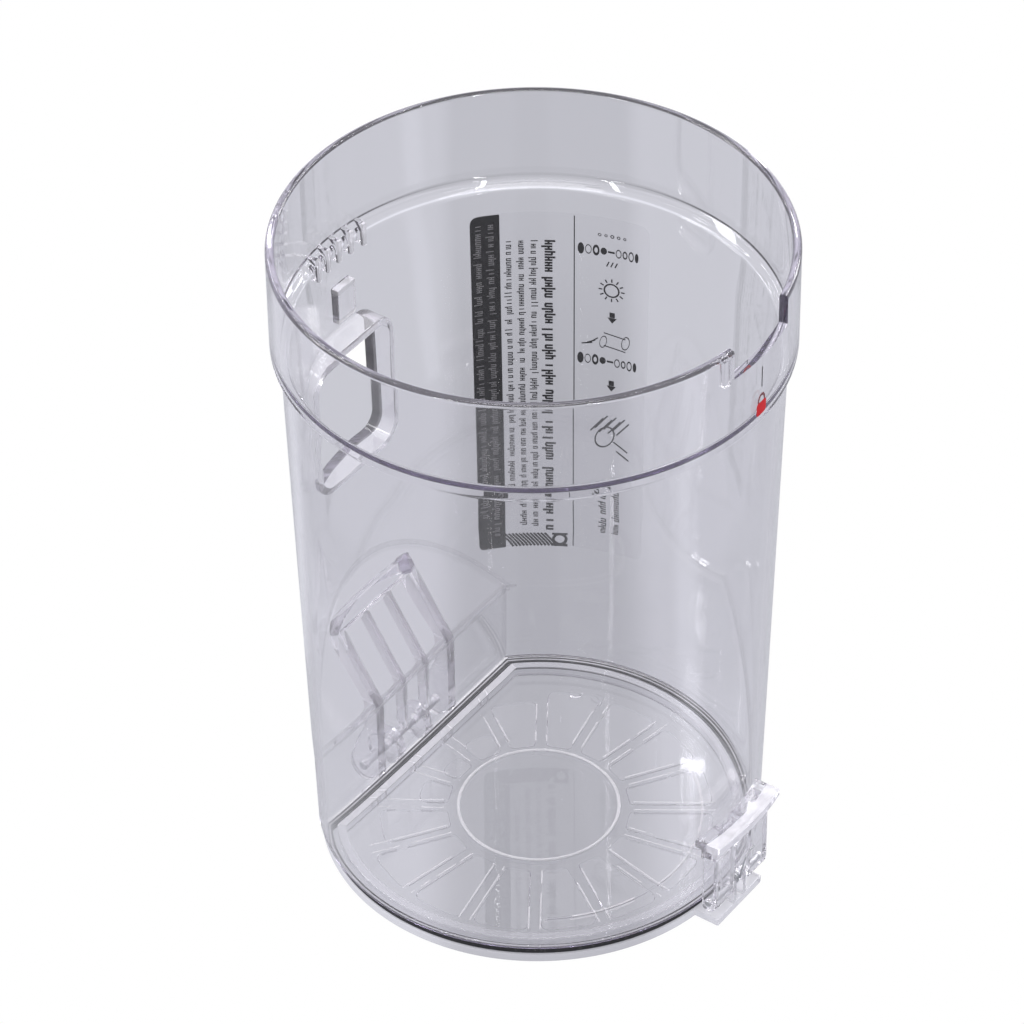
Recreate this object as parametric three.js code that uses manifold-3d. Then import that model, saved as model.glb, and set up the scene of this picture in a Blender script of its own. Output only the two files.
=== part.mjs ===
// Dust canister of a cordless vacuum cleaner: a clear cup with a drop-down door,
// a black door seal, a sprung snap latch and a printed label film.
// Units are millimetres. The origin is the bottom centre, +Z runs up the cup's axis,
// the latch is at the front (-Y) and the door hinge at the back (+Y).
import * as THREE from "three";
import { mergeVertices } from "three/addons/utils/BufferGeometryUtils.js";
import Module from "manifold-3d";

const wasm = await Module();
wasm.setup();

// ---- Driving dimensions ----
const CUP_TOP = 166; // height of the rim
const CUP_BOTTOM = 4.6; // height of the cup wall's lower edge
const WALL = 2; // thickness of the cup wall
const COLLAR_RADIUS = 57.5; // outside of the wide collar
const COLLAR_BOTTOM = 140.3; // height at which the collar starts
const BODY_TOP_RADIUS = 55.4; // outside of the body just under the collar
const BODY_BOTTOM_RADIUS = 51.7; // outside of the body at its lower edge
const CHORD_Y = 36.7; // outer face of the flat back wall
const FOLD_Z = 26; // height at which the flat back wall turns into the slope
const SLOPE = THREE.MathUtils.degToRad(56); // slope of the back pocket, from the horizontal

const DOOR_RADIUS = 50.9;
const DOOR_THICKNESS = 2.2;
const PLUG_RADIUS = 47.6; // outside of the wall that plugs the cup
const PLUG_WALL = 2;
const PLUG_TOP = 5;
const DISC_RADIUS = 19.3; // plain disc in the middle of the door
const RIB_COUNT = 16; // radial ribs under the door
const RIB_WIDTH = 2.6;
const POCKET_DEPTH = 0.8; // depth of the hollows between the ribs
const SEAL_INNER_RADIUS = 48.7;
const SEAL_OUTER_RADIUS = 50.7;

const HINGE_Y = 41.5;
const HINGE_Z = 5;
const KNUCKLE_RADIUS = 4.3;
const HINGE_PIN_RADIUS = 1.1;
const CHEEK_INNER_X = 12.6; // inner face of each hinge cheek
const CHEEK_OUTER_X = 15.4;
const DOOR_LUG_X = [3.9, 7]; // inner and outer face of each door lug

const LATCH_Y = -54.4; // axis of the latch pin
const LATCH_Z = 7.4;
const LATCH_PIN_RADIUS = 0.8;
const LATCH_HALF_WIDTH = 10.5;
const WINDOW_HALF_WIDTH = 2.8; // gap between the latch's two columns
const LATCH_FRONT_Y = -56.6;
const LATCH_BACK_Y = -52.9;
const CATCH_TOP = 20.2; // flat top of the catch on the cup
const GAP = 0.3; // clearance between neighbouring pieces
const ROUND = 96; // facets round the cup

// ---- Solids ----
function toSolid(geometry) {
  const bare = geometry.index ? geometry.toNonIndexed() : geometry.clone();
  bare.deleteAttribute("normal");
  bare.deleteAttribute("uv");
  const merged = mergeVertices(bare, 1e-4);
  return new wasm.Manifold(
    new wasm.Mesh({
      numProp: 3,
      vertProperties: new Float32Array(merged.attributes.position.array),
      triVerts: new Uint32Array(merged.index.array),
    }),
  );
}

function toGeometry(solid) {
  const mesh = solid.getMesh();
  const geometry = new THREE.BufferGeometry();
  geometry.setAttribute("position", new THREE.BufferAttribute(mesh.vertProperties, 3));
  geometry.setIndex(new THREE.BufferAttribute(mesh.triVerts, 1));
  return geometry;
}

function joined(solids) {
  return solids.reduce((sum, solid) => sum.add(solid));
}

// A solid of revolution about Z from [radius, height] points.
function revolved(points, segments = ROUND) {
  const profile = points.map(([radius, height]) => new THREE.Vector2(radius, height));
  const geometry = new THREE.LatheGeometry(profile, segments);
  geometry.rotateX(Math.PI / 2);
  const solid = toSolid(geometry);
  if (solid.volume() > 0) return solid;
  return toSolid(flipped(geometry));
}

function flipped(geometry) {
  const copy = geometry.clone();
  const index = copy.index.array;
  for (let i = 0; i < index.length; i += 3) {
    [index[i], index[i + 1]] = [index[i + 1], index[i]];
  }
  return copy;
}

// An outline in X and Y, raised from one height to another.
function raised(shape, low, high, curveSegments = 12) {
  const geometry = new THREE.ExtrudeGeometry(shape, {
    depth: high - low,
    bevelEnabled: false,
    curveSegments,
  });
  geometry.translate(0, 0, low);
  return toSolid(geometry);
}

// An outline drawn in Y and Z, carried along X from one side to the other.
function across(shape, left, right, curveSegments = 12) {
  const geometry = new THREE.ExtrudeGeometry(shape, {
    depth: right - left,
    bevelEnabled: false,
    curveSegments,
  });
  geometry.translate(0, 0, left);
  geometry.applyMatrix4(new THREE.Matrix4().set(0, 0, 1, 0, 1, 0, 0, 0, 0, 1, 0, 0, 0, 0, 0, 1));
  return toSolid(geometry);
}

function outline(points) {
  return new THREE.Shape(points.map(([a, b]) => new THREE.Vector2(a, b)));
}

function circle(a, b, radius) {
  return new THREE.Shape().absarc(a, b, radius, 0, Math.PI * 2);
}

function block(lowX, highX, lowY, highY, lowZ, highZ) {
  const geometry = new THREE.BoxGeometry(highX - lowX, highY - lowY, highZ - lowZ);
  geometry.translate((lowX + highX) / 2, (lowY + highY) / 2, (lowZ + highZ) / 2);
  return toSolid(geometry);
}

// How far back a disc of this radius reaches when its straight back edge runs parallel
// to the cup's flat back wall, as on the door and its seal.
function chordAt(radius) {
  return radius - (BODY_BOTTOM_RADIUS - CHORD_Y);
}

function cutDisc(radius, low, high) {
  const start = Math.asin(chordAt(radius) / radius);
  const shape = new THREE.Shape().absarc(0, 0, radius, Math.PI - start, Math.PI * 2 + start);
  return raised(shape, low, high, ROUND);
}

// Both mirror images of a solid that stands to the right of the middle plane.
function mirroredPair(make, low, high) {
  return make(low, high).add(make(-high, -low));
}

// ---- The cup ----
function bodyRadius(height) {
  const share = (height - CUP_BOTTOM) / (COLLAR_BOTTOM - CUP_BOTTOM);
  return BODY_BOTTOM_RADIUS + (BODY_TOP_RADIUS - BODY_BOTTOM_RADIUS) * share;
}

// Everything behind the flat back wall and under the slope, moved inwards by a wall's thickness
// for the inside of the cup.
function backPocket(inset) {
  const run = new THREE.Vector2(Math.cos(SLOPE), Math.sin(SLOPE));
  const shifted = new THREE.Vector2(-inset * run.y, inset * run.x);
  const foldY = CHORD_Y - inset;
  const foldZ = FOLD_Z + shifted.y - ((shifted.x + inset) * run.y) / run.x;
  const reach = 60;
  return across(
    outline([
      [foldY, -10],
      [90, -10],
      [90, foldZ + reach * run.y],
      [foldY + reach * run.x, foldZ + reach * run.y],
      [foldY, foldZ],
    ]),
    -80,
    80,
  );
}

function cupOutside() {
  return revolved([
    [0, CUP_BOTTOM],
    [BODY_BOTTOM_RADIUS, CUP_BOTTOM],
    [BODY_TOP_RADIUS, COLLAR_BOTTOM - 1],
    [BODY_TOP_RADIUS + 1.2, COLLAR_BOTTOM],
    [COLLAR_RADIUS, COLLAR_BOTTOM + 1.6],
    [COLLAR_RADIUS, CUP_TOP - 0.8],
    [COLLAR_RADIUS - 0.7, CUP_TOP],
    [0, CUP_TOP],
  ]).subtract(backPocket(0));
}

function cupInside() {
  const inner = BODY_TOP_RADIUS - WALL;
  const lower = revolved([
    [0, CUP_BOTTOM - 1],
    [BODY_BOTTOM_RADIUS - WALL, CUP_BOTTOM - 1],
    [inner, COLLAR_BOTTOM + 1.4],
    [inner + 0.9, COLLAR_BOTTOM + 2.2],
    [COLLAR_RADIUS - WALL, COLLAR_BOTTOM + 3.4],
    [COLLAR_RADIUS - WALL, CUP_TOP - 0.6],
    [COLLAR_RADIUS - WALL + 0.6, CUP_TOP + 0.1],
    [0, CUP_TOP + 0.1],
  ]);
  return lower.subtract(backPocket(WALL));
}

// Point at a distance up the slope from the fold and out from its outer face.
function onSlope(along, out) {
  return [
    CHORD_Y + along * Math.cos(SLOPE) + out * Math.sin(SLOPE),
    FOLD_Z + along * Math.sin(SLOPE) - out * Math.cos(SLOPE),
  ];
}

// One side plate of the hinge bracket: it runs down the slope and the back wall to its knuckle.
function hingeCheek(left, right) {
  const shape = new THREE.Shape();
  const sink = WALL / 2;
  shape.moveTo(...onSlope(23, -sink));
  shape.lineTo(CHORD_Y - sink, FOLD_Z);
  shape.lineTo(CHORD_Y - sink, CUP_BOTTOM);
  shape.lineTo(HINGE_Y - 1, HINGE_Z - KNUCKLE_RADIUS + 0.12);
  shape.absarc(HINGE_Y, HINGE_Z, KNUCKLE_RADIUS, -Math.PI * 0.57, Math.PI * 0.12);
  shape.quadraticCurveTo(HINGE_Y + 1.6, 15, CHORD_Y + 3.2, FOLD_Z - 2.5);
  shape.lineTo(...onSlope(2, 3.2));
  shape.lineTo(...onSlope(21, 5));
  shape.lineTo(...onSlope(23, 4));
  return across(shape, left, right);
}

function slopeRib(left, right) {
  const sink = WALL / 2;
  return across(
    outline([
      onSlope(20, -sink),
      [CHORD_Y - sink, FOLD_Z],
      [CHORD_Y - sink, 11],
      [CHORD_Y + 1, 11],
      [CHORD_Y + 2.4, 13],
      [CHORD_Y + 2.4, FOLD_Z - 1.3],
      onSlope(20, 2.4),
    ]),
    left,
    right,
  );
}

function hingeBracket() {
  const beam = across(
    outline([onSlope(18.6, -1), onSlope(18.6, 4.6), onSlope(22.6, 4.6), onSlope(22.6, -1)]),
    -CHEEK_OUTER_X,
    CHEEK_OUTER_X,
  );
  const plates = joined([
    mirroredPair(hingeCheek, CHEEK_INNER_X, CHEEK_OUTER_X),
    mirroredPair(slopeRib, 3.5, 5.1),
    beam,
  ]);
  const envelope = revolved([
    [0, 0],
    [bodyRadius(0), 0],
    [bodyRadius(60), 60],
    [0, 60],
  ]);
  const pinHole = across(circle(HINGE_Y, HINGE_Z, HINGE_PIN_RADIUS + 0.15), -40, 40);
  return plates.intersect(envelope).subtract(pinHole);
}

// The dust inlet: a rounded rectangular duct that stands into the cup from the back wall.
const INLET = { left: -20, right: 11, low: 84.5, high: 120.5, innerY: 46.6, wall: 1.8, corner: 6 };

function inletOutline(inset) {
  const radius = INLET.corner - inset;
  const left = INLET.left + inset;
  const right = INLET.right - inset;
  const low = INLET.low + inset;
  const high = INLET.high - inset;
  const shape = new THREE.Shape();
  shape.absarc(right - radius, high - radius, radius, 0, Math.PI / 2);
  shape.absarc(left + radius, high - radius, radius, Math.PI / 2, Math.PI);
  shape.absarc(left + radius, low + radius, radius, Math.PI, Math.PI * 1.5);
  shape.absarc(right - radius, low + radius, radius, Math.PI * 1.5, Math.PI * 2);
  return shape;
}

// An outline drawn in X and Z, carried along Y.
function alongY(shape, near, far) {
  const geometry = new THREE.ExtrudeGeometry(shape, {
    depth: far - near,
    bevelEnabled: false,
    curveSegments: 6,
  });
  geometry.rotateX(Math.PI / 2);
  geometry.translate(0, far, 0);
  return toSolid(geometry);
}

function inletDuct() {
  const outsideOfWall = revolved([
    [0, 60],
    [bodyRadius(60) - 0.4, 60],
    [bodyRadius(135) - 0.4, 135],
    [0, 135],
  ]);
  return alongY(inletOutline(0), INLET.innerY, 60).intersect(outsideOfWall);
}

function inletOpening() {
  return alongY(inletOutline(INLET.wall), INLET.innerY - 5, 70);
}

// A block set on the wall at an angle round the cup, reaching from one radius to another.
function radialBlock(degrees, width, from, to, low, high) {
  const geometry = new THREE.BoxGeometry(to - from, width, high - low);
  geometry.translate((from + to) / 2, 0, (low + high) / 2);
  geometry.rotateZ(THREE.MathUtils.degToRad(degrees));
  return toSolid(geometry);
}

function sector(fromDegrees, toDegrees, reach) {
  const from = THREE.MathUtils.degToRad(fromDegrees);
  const to = THREE.MathUtils.degToRad(toDegrees);
  const shape = new THREE.Shape();
  shape.absarc(0, 0, reach, from, to);
  shape.lineTo(0, 0);
  return shape;
}

// Five short ribs on the inside of the step under the collar, at the back.
function stepRibs() {
  const pitch = 4.5;
  const count = 5;
  const inner = BODY_TOP_RADIUS - WALL;
  const ribs = [];
  for (let i = 0; i < count; i += 1) {
    const degrees = 90 + (i - (count - 1) / 2) * pitch;
    ribs.push(radialBlock(degrees, 1.2, inner - 0.9, inner + 2.2, 137.5, 142.8));
  }
  return joined(ribs);
}

function backBoss() {
  const inner = bodyRadius(116) - WALL;
  return radialBlock(90, 6.5, inner - 1.6, inner + 1, 122.6, 132);
}

function latchCatch() {
  const tipY = -54.8;
  return across(
    outline([
      [-50.8, 15],
      [-50.8, CATCH_TOP],
      [tipY, CATCH_TOP],
      [tipY, CATCH_TOP - 1],
      [-51.6, 15],
    ]),
    -2.3,
    2.3,
  );
}

// The bayonet notch in the rim, with a stop rib inside the collar at its left end.
const NOTCH = { from: -98, to: -75.5, floor: 158.6 };

function rimNotch() {
  return raised(sector(NOTCH.from, NOTCH.to, 80), NOTCH.floor, CUP_TOP + 10);
}

function notchStop() {
  const inside = COLLAR_RADIUS - WALL;
  return radialBlock(NOTCH.from - 1.2, 2, inside - 1.3, inside + 1, 156.8, 163.6);
}

function cupShell() {
  const additions = joined([
    hingeBracket(),
    inletDuct(),
    stepRibs(),
    backBoss(),
    latchCatch(),
    notchStop(),
  ]);
  return cupOutside()
    .subtract(cupInside())
    .add(additions)
    .subtract(inletOpening())
    .subtract(rimNotch());
}

// ---- The door ----
function doorRibs(low, high) {
  const bars = [];
  for (let i = 0; i < RIB_COUNT; i += 1) {
    const degrees = ((i + 0.5) * 360) / RIB_COUNT;
    bars.push(radialBlock(degrees, RIB_WIDTH, 10, 60, low, high));
  }
  return joined(bars);
}

function doorPockets() {
  const low = -1;
  const field = cutDisc(42.4, low, POCKET_DEPTH);
  const middle = raised(circle(0, 0, DISC_RADIUS + 2.2), low - 1, POCKET_DEPTH + 1, ROUND);
  return field.subtract(middle).subtract(doorRibs(low - 1, POCKET_DEPTH + 1));
}

function doorLug(left, right) {
  const shape = new THREE.Shape();
  shape.moveTo(chordAt(DOOR_RADIUS) - 3, 0);
  shape.lineTo(HINGE_Y - 1.5, 0);
  shape.lineTo(HINGE_Y, HINGE_Z - KNUCKLE_RADIUS);
  shape.absarc(HINGE_Y, HINGE_Z, KNUCKLE_RADIUS, -Math.PI / 2, Math.PI);
  shape.lineTo(HINGE_Y - KNUCKLE_RADIUS, DOOR_THICKNESS);
  shape.lineTo(chordAt(DOOR_RADIUS) - 3, DOOR_THICKNESS);
  return across(shape, left, right);
}

// One of the two ears that carry the latch pin, standing up in front of the cup wall.
function latchEar(left, right) {
  const radius = 2;
  const shape = new THREE.Shape();
  shape.moveTo(LATCH_Y + radius, 1);
  shape.lineTo(LATCH_Y + radius, LATCH_Z);
  shape.absarc(LATCH_Y, LATCH_Z, radius, 0, Math.PI);
  shape.lineTo(LATCH_Y - radius, 1);
  return across(shape, left, right);
}

function door() {
  const panel = cutDisc(DOOR_RADIUS, 0, DOOR_THICKNESS);
  const plug = cutDisc(PLUG_RADIUS, 1, PLUG_TOP);
  const hollow = cutDisc(PLUG_RADIUS - PLUG_WALL, DOOR_THICKNESS, PLUG_TOP + 5);
  const tab = block(-9, 9, -56.4, -49, 0, DOOR_THICKNESS);
  const hingeHole = across(circle(HINGE_Y, HINGE_Z, HINGE_PIN_RADIUS + 0.2), -20, 20);
  const latchHole = across(circle(LATCH_Y, LATCH_Z, LATCH_PIN_RADIUS + 0.2), -20, 20);
  return panel
    .add(plug)
    .subtract(hollow)
    .subtract(doorPockets())
    .add(mirroredPair(doorLug, ...DOOR_LUG_X))
    .add(tab)
    .add(mirroredPair(latchEar, 1.3, WINDOW_HALF_WIDTH - GAP))
    .subtract(hingeHole)
    .subtract(latchHole);
}

function doorSeal() {
  const low = DOOR_THICKNESS + GAP;
  const ring = cutDisc(SEAL_OUTER_RADIUS, low, CUP_BOTTOM - GAP);
  return ring.subtract(cutDisc(SEAL_INNER_RADIUS, low - 1, CUP_BOTTOM));
}

// ---- Pins ----
function pin(radius, halfLength, y, z, segments) {
  const chamfer = 0.25;
  const solid = revolved(
    [
      [0, -halfLength],
      [radius - chamfer, -halfLength],
      [radius, -halfLength + chamfer],
      [radius, halfLength - chamfer],
      [radius - chamfer, halfLength],
      [0, halfLength],
    ],
    segments,
  );
  return solid.rotate([0, 90, 0]).translate([0, y, z]);
}

// ---- The latch ----
// A side rib of one column, round at its foot where the pin goes through.
function latchRib(left, right) {
  const foot = 2.1;
  const shape = new THREE.Shape();
  shape.moveTo(LATCH_BACK_Y, 27);
  shape.lineTo(LATCH_FRONT_Y, 27);
  shape.lineTo(LATCH_FRONT_Y, LATCH_Z);
  shape.absarc(LATCH_Y, LATCH_Z, foot, Math.PI, Math.PI * 1.75);
  shape.lineTo(LATCH_BACK_Y, LATCH_Z);
  return across(shape, left, right);
}

function latchColumn(left, right) {
  const rib = 1.4;
  const plate = block(left, right, LATCH_FRONT_Y, LATCH_FRONT_Y + 1, LATCH_Z - 1, 27);
  return joined([latchRib(left, left + rib), latchRib(right - rib, right), plate]);
}

// The bar over the catch and the thumb lip that flares out from it, bent to the cup's curve.
function latchTop() {
  const shape = new THREE.Shape();
  shape.moveTo(-50, CATCH_TOP + 0.4);
  shape.lineTo(LATCH_FRONT_Y, CATCH_TOP + 0.4);
  shape.quadraticCurveTo(LATCH_FRONT_Y - 0.6, 25, -61, 27.4);
  shape.lineTo(-61, 29);
  shape.quadraticCurveTo(-57, 27.4, -50, 27.8);
  const bar = across(shape, -12.4, 12.4);
  const sideCut = block(LATCH_HALF_WIDTH, 20, -70, -40, 0, 25.4);
  const mirroredCut = block(-20, -LATCH_HALF_WIDTH, -70, -40, 0, 25.4);
  const ring = raised(circle(0, 0, 59.8), 0, 40, ROUND);
  const cupRoom = raised(circle(0, 0, 53.5), -1, 41, ROUND);
  return bar.subtract(sideCut).subtract(mirroredCut).intersect(ring).subtract(cupRoom);
}

function latch() {
  const pinHole = across(circle(LATCH_Y, LATCH_Z, LATCH_PIN_RADIUS + 0.2), -20, 20);
  return latchTop()
    .add(mirroredPair(latchColumn, WINDOW_HALF_WIDTH, LATCH_HALF_WIDTH))
    .subtract(pinHole);
}

// A torsion spring on the latch pin: one leg stands on the door, the other presses on the latch.
function latchSpring() {
  const wire = 0.22;
  const coil = 1.35;
  const turns = 2.5;
  const steps = 40;
  const points = [new THREE.Vector3(-0.75, LATCH_Y + coil, 2.6)];
  points.push(new THREE.Vector3(-0.75, LATCH_Y + coil, LATCH_Z - 1));
  for (let i = 0; i <= steps; i += 1) {
    const angle = (i / steps) * turns * Math.PI * 2;
    const x = -0.75 + (1.5 * i) / steps;
    const y = LATCH_Y + coil * Math.cos(angle);
    points.push(new THREE.Vector3(x, y, LATCH_Z + coil * Math.sin(angle)));
  }
  const pressY = LATCH_FRONT_Y - wire - GAP;
  points.push(new THREE.Vector3(0.8, (LATCH_Y - coil + pressY) / 2, 11));
  points.push(new THREE.Vector3(0.9, pressY, 14.4));
  points.push(new THREE.Vector3(1.8, pressY, 15.2));
  points.push(new THREE.Vector3(4.4, pressY, 15.4));
  const path = new THREE.CatmullRomCurve3(points, false, "centripetal");
  const geometry = new THREE.ExtrudeGeometry(circle(0, 0, wire), {
    steps: 110,
    extrudePath: path,
    curveSegments: 4,
  });
  return toSolid(geometry);
}

// ---- The label ----
const LABEL = { from: 6.5, to: 51, low: 38, high: 133.5, thickness: 0.15 };

function labelFilm() {
  const lowRadius = bodyRadius(LABEL.low) + 0.15;
  const highRadius = bodyRadius(LABEL.high) + 0.15;
  const band = revolved([
    [lowRadius, LABEL.low],
    [lowRadius + LABEL.thickness, LABEL.low],
    [highRadius + LABEL.thickness, LABEL.high],
    [highRadius, LABEL.high],
    [lowRadius, LABEL.low],
  ]);
  return band.intersect(raised(sector(LABEL.from, LABEL.to, 80), 0, CUP_TOP));
}

// ---- The assembly ----
const CLEAR = { color: 0xd6d5e0, roughness: 0.05, metalness: 0, transparent: true, opacity: 0.35 };
const BLACK_RUBBER = { color: 0x151517, roughness: 0.7, metalness: 0 };
const STEEL = { color: 0xc8cad0, roughness: 0.3, metalness: 1 };
const PRINT = { color: 0x1c1a1d, roughness: 0.5, metalness: 0 };

const canister = new THREE.Group();

function addPart(parent, name, solid, finish) {
  const mesh = new THREE.Mesh(toGeometry(solid), new THREE.MeshStandardMaterial(finish));
  mesh.name = name;
  parent.add(mesh);
}

const doorGroup = new THREE.Group();
const latchGroup = new THREE.Group();
canister.add(doorGroup);
doorGroup.add(latchGroup);

addPart(canister, "cup_shell", cupShell(), CLEAR);
addPart(canister, "hinge_pin", pin(HINGE_PIN_RADIUS, CHEEK_OUTER_X + 0.3, HINGE_Y, HINGE_Z, 16), STEEL);
addPart(canister, "label_film", labelFilm(), PRINT);
addPart(doorGroup, "door", door(), CLEAR);
addPart(doorGroup, "door_seal", doorSeal(), BLACK_RUBBER);
addPart(doorGroup, "latch_pin", pin(LATCH_PIN_RADIUS, LATCH_HALF_WIDTH + 0.2, LATCH_Y, LATCH_Z, 16), STEEL);
addPart(latchGroup, "latch", latch(), CLEAR);
addPart(latchGroup, "latch_spring", latchSpring(), STEEL);

export default canister;
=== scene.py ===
"""A clear dust canister of a vacuum cleaner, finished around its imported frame.

The cup, the door, its seal, the latch and the printed label are modelled here in
millimetres and brought to metres as they are finished. Each one stands for its CAD node.
"""

import logging
import math
import random
from contextlib import contextmanager
from dataclasses import dataclass, field
from enum import Enum
from typing import Any, Callable, Iterator, Optional, Sequence, Union

import bpy
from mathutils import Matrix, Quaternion, Vector


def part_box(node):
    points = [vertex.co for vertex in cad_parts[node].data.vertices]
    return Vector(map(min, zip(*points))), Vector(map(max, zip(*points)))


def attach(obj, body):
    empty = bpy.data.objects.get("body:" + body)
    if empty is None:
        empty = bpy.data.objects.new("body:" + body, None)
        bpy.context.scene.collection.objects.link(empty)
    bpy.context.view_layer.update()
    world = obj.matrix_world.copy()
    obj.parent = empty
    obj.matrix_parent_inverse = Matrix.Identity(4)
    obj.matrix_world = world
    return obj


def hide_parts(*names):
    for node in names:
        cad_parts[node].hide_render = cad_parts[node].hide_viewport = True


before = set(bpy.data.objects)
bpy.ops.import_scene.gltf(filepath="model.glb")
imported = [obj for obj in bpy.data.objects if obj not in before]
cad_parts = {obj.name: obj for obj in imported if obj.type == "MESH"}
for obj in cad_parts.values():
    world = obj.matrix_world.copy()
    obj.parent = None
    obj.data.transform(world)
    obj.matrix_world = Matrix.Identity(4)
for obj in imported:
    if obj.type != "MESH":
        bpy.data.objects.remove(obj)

log = logging.getLogger("canister")

MM = 0.001
ROUND = 256

Point = tuple[float, float]
Corner = tuple[float, float, float]
Piece = bpy.types.Object


# ---------------------------------------------------------------- outlines


class Plane(Enum):
    """The plane an outline is drawn in. The third axis is the one it is carried along."""

    XY = "xy"
    XZ = "xz"
    YZ = "yz"

    def at(self, a: float, b: float, c: float) -> Vector:
        """Gives the point a, b in the plane at distance c along the third axis."""
        places = {Plane.XY: (a, b, c), Plane.XZ: (a, c, b), Plane.YZ: (c, a, b)}
        return Vector(places[self])


class Cut(Enum):
    """How a second solid acts on a first one."""

    ADD = "UNION"
    REMOVE = "DIFFERENCE"
    KEEP = "INTERSECT"


def arc(centre: Point, radius: float, start: float, end: float, steps: int) -> list[Point]:
    """Points along a circular arc.

    Args:
        centre: The arc's centre.
        radius: Its radius.
        start: The first angle in degrees.
        end: The last angle in degrees.
        steps: How many straight steps it takes.

    Returns:
        The points from the first angle to the last.
    """
    points = []
    for i in range(steps + 1):
        angle = math.radians(start + (end - start) * i / steps)
        points.append((centre[0] + radius * math.cos(angle), centre[1] + radius * math.sin(angle)))
    return points


def rounded(corners: Sequence[Corner], steps: int = 4) -> list[Point]:
    """An outline whose corners are rounded.

    Args:
        corners: Each corner's two coordinates and how far back its rounding starts.
        steps: How many steps each rounding takes.

    Returns:
        The outline's points in order.
    """
    points: list[Point] = []
    for i, (a, b, reach) in enumerate(corners):
        if reach == 0:
            points.append((a, b))
            continue
        here = Vector((a, b))
        before = (Vector(corners[i - 1][:2]) - here).normalized() * reach + here
        after = (Vector(corners[(i + 1) % len(corners)][:2]) - here).normalized() * reach + here
        for step in range(steps + 1):
            t = step / steps
            point = before * (1 - t) ** 2 + here * (2 * t * (1 - t)) + after * t**2
            points.append((point.x, point.y))
    return points


def cut_round(radius: float, chord: float, corner: float, steps: int = ROUND) -> list[Point]:
    """A round outline with a straight back edge, as the lower end of the cup has.

    Args:
        radius: The radius of the round part.
        chord: How far back the straight edge lies.
        corner: The radius between the straight edge and the round part.
        steps: How many steps the round part takes.

    Returns:
        The outline's points, anticlockwise from above.
    """
    away = math.sqrt((radius - corner) ** 2 - (chord - corner) ** 2)
    side = math.degrees(math.atan2(chord - corner, away))
    right = arc((away, chord - corner), corner, side, 90, 5)
    left = arc((-away, chord - corner), corner, 90, 180 - side, 5)
    main = arc((0, 0), radius, 180 - side, 360 + side, steps)
    return right + left + main[1:-1]


# ---------------------------------------------------------------- the modelling bench


def select_only(piece: Piece) -> None:
    """Leaves this piece alone selected and active."""
    bpy.ops.object.select_all(action="DESELECT")
    piece.select_set(True)
    bpy.context.view_layer.objects.active = piece


@contextmanager
def editing(piece: Piece, mode: str = "VERT") -> Iterator[None]:
    """Opens a piece in edit mode.

    Args:
        piece: The piece to edit.
        mode: What is selected: VERT, EDGE or FACE.
    """
    select_only(piece)
    bpy.ops.object.mode_set(mode="EDIT")
    bpy.ops.mesh.select_mode(type=mode)
    yield
    bpy.ops.object.mode_set(mode="OBJECT")


def trace(name: str, points: Sequence[Vector], filled: bool) -> Piece:
    """Draws edges from point to point, as a vertex extruded again and again.

    Args:
        name: The new piece's name.
        points: The points to pass through.
        filled: Whether the line closes on itself and holds a face.

    Returns:
        The new piece.
    """
    bpy.ops.object.select_all(action="DESELECT")
    bpy.ops.mesh.primitive_plane_add(size=1.0)
    piece = bpy.context.active_object
    piece.name = name
    piece.data.name = name
    route = [*points, points[0]] if filled else list(points)
    with editing(piece):
        bpy.ops.mesh.select_all(action="SELECT")
        bpy.ops.mesh.merge(type="CENTER")
        bpy.ops.transform.translate(value=route[0])
        for here, there in zip(route, route[1:]):
            bpy.ops.mesh.extrude_region_move(TRANSFORM_OT_translate={"value": there - here})
        if filled:
            bpy.ops.mesh.select_all(action="SELECT")
            bpy.ops.mesh.remove_doubles(threshold=0.002)
            bpy.ops.mesh.edge_face_add()
    return piece


def tidy_normals(piece: Piece) -> None:
    """Merges doubled points and turns every face outwards."""
    with editing(piece):
        bpy.ops.mesh.select_all(action="SELECT")
        bpy.ops.mesh.remove_doubles(threshold=0.0005)
        bpy.ops.mesh.normals_make_consistent(inside=False)


def slab(name: str, outline: Sequence[Point], plane: Plane, low: float, high: float) -> Piece:
    """A solid with a drawn outline, carried straight from one place to another.

    Args:
        name: The new piece's name.
        outline: The outline's points.
        plane: The plane it is drawn in.
        low: Where it starts along the third axis.
        high: Where it ends.

    Returns:
        The new solid.
    """
    piece = trace(name, [plane.at(a, b, low) for a, b in outline], filled=True)
    with editing(piece, "FACE"):
        bpy.ops.mesh.select_all(action="SELECT")
        move = {"value": plane.at(0, 0, high - low)}
        bpy.ops.mesh.extrude_region_move(TRANSFORM_OT_translate=move)
    tidy_normals(piece)
    return piece


def turned(name: str, profile: Sequence[Point], steps: int = ROUND) -> Piece:
    """A solid spun about Z.

    Args:
        name: The new piece's name.
        profile: Radius and height of each point, from the axis to the axis or closed.
        steps: How many steps the turn takes.

    Returns:
        The new solid.
    """
    piece = trace(name, [Vector((r, 0, z)) for r, z in profile], filled=False)
    with editing(piece):
        bpy.ops.mesh.select_all(action="SELECT")
        bpy.ops.mesh.spin(steps=steps, angle=math.tau, center=(0, 0, 0), axis=(0, 0, 1))
    tidy_normals(piece)
    return piece


def block(name: str, low: Sequence[float], high: Sequence[float]) -> Piece:
    """A box between two corners."""
    bpy.ops.object.select_all(action="DESELECT")
    centre = [(a + b) / 2 for a, b in zip(low, high)]
    bpy.ops.mesh.primitive_cube_add(size=1.0, location=centre)
    piece = bpy.context.active_object
    piece.name = name
    piece.scale = [b - a for a, b in zip(low, high)]
    bpy.ops.object.transform_apply(location=True, rotation=True, scale=True)
    return piece


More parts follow.
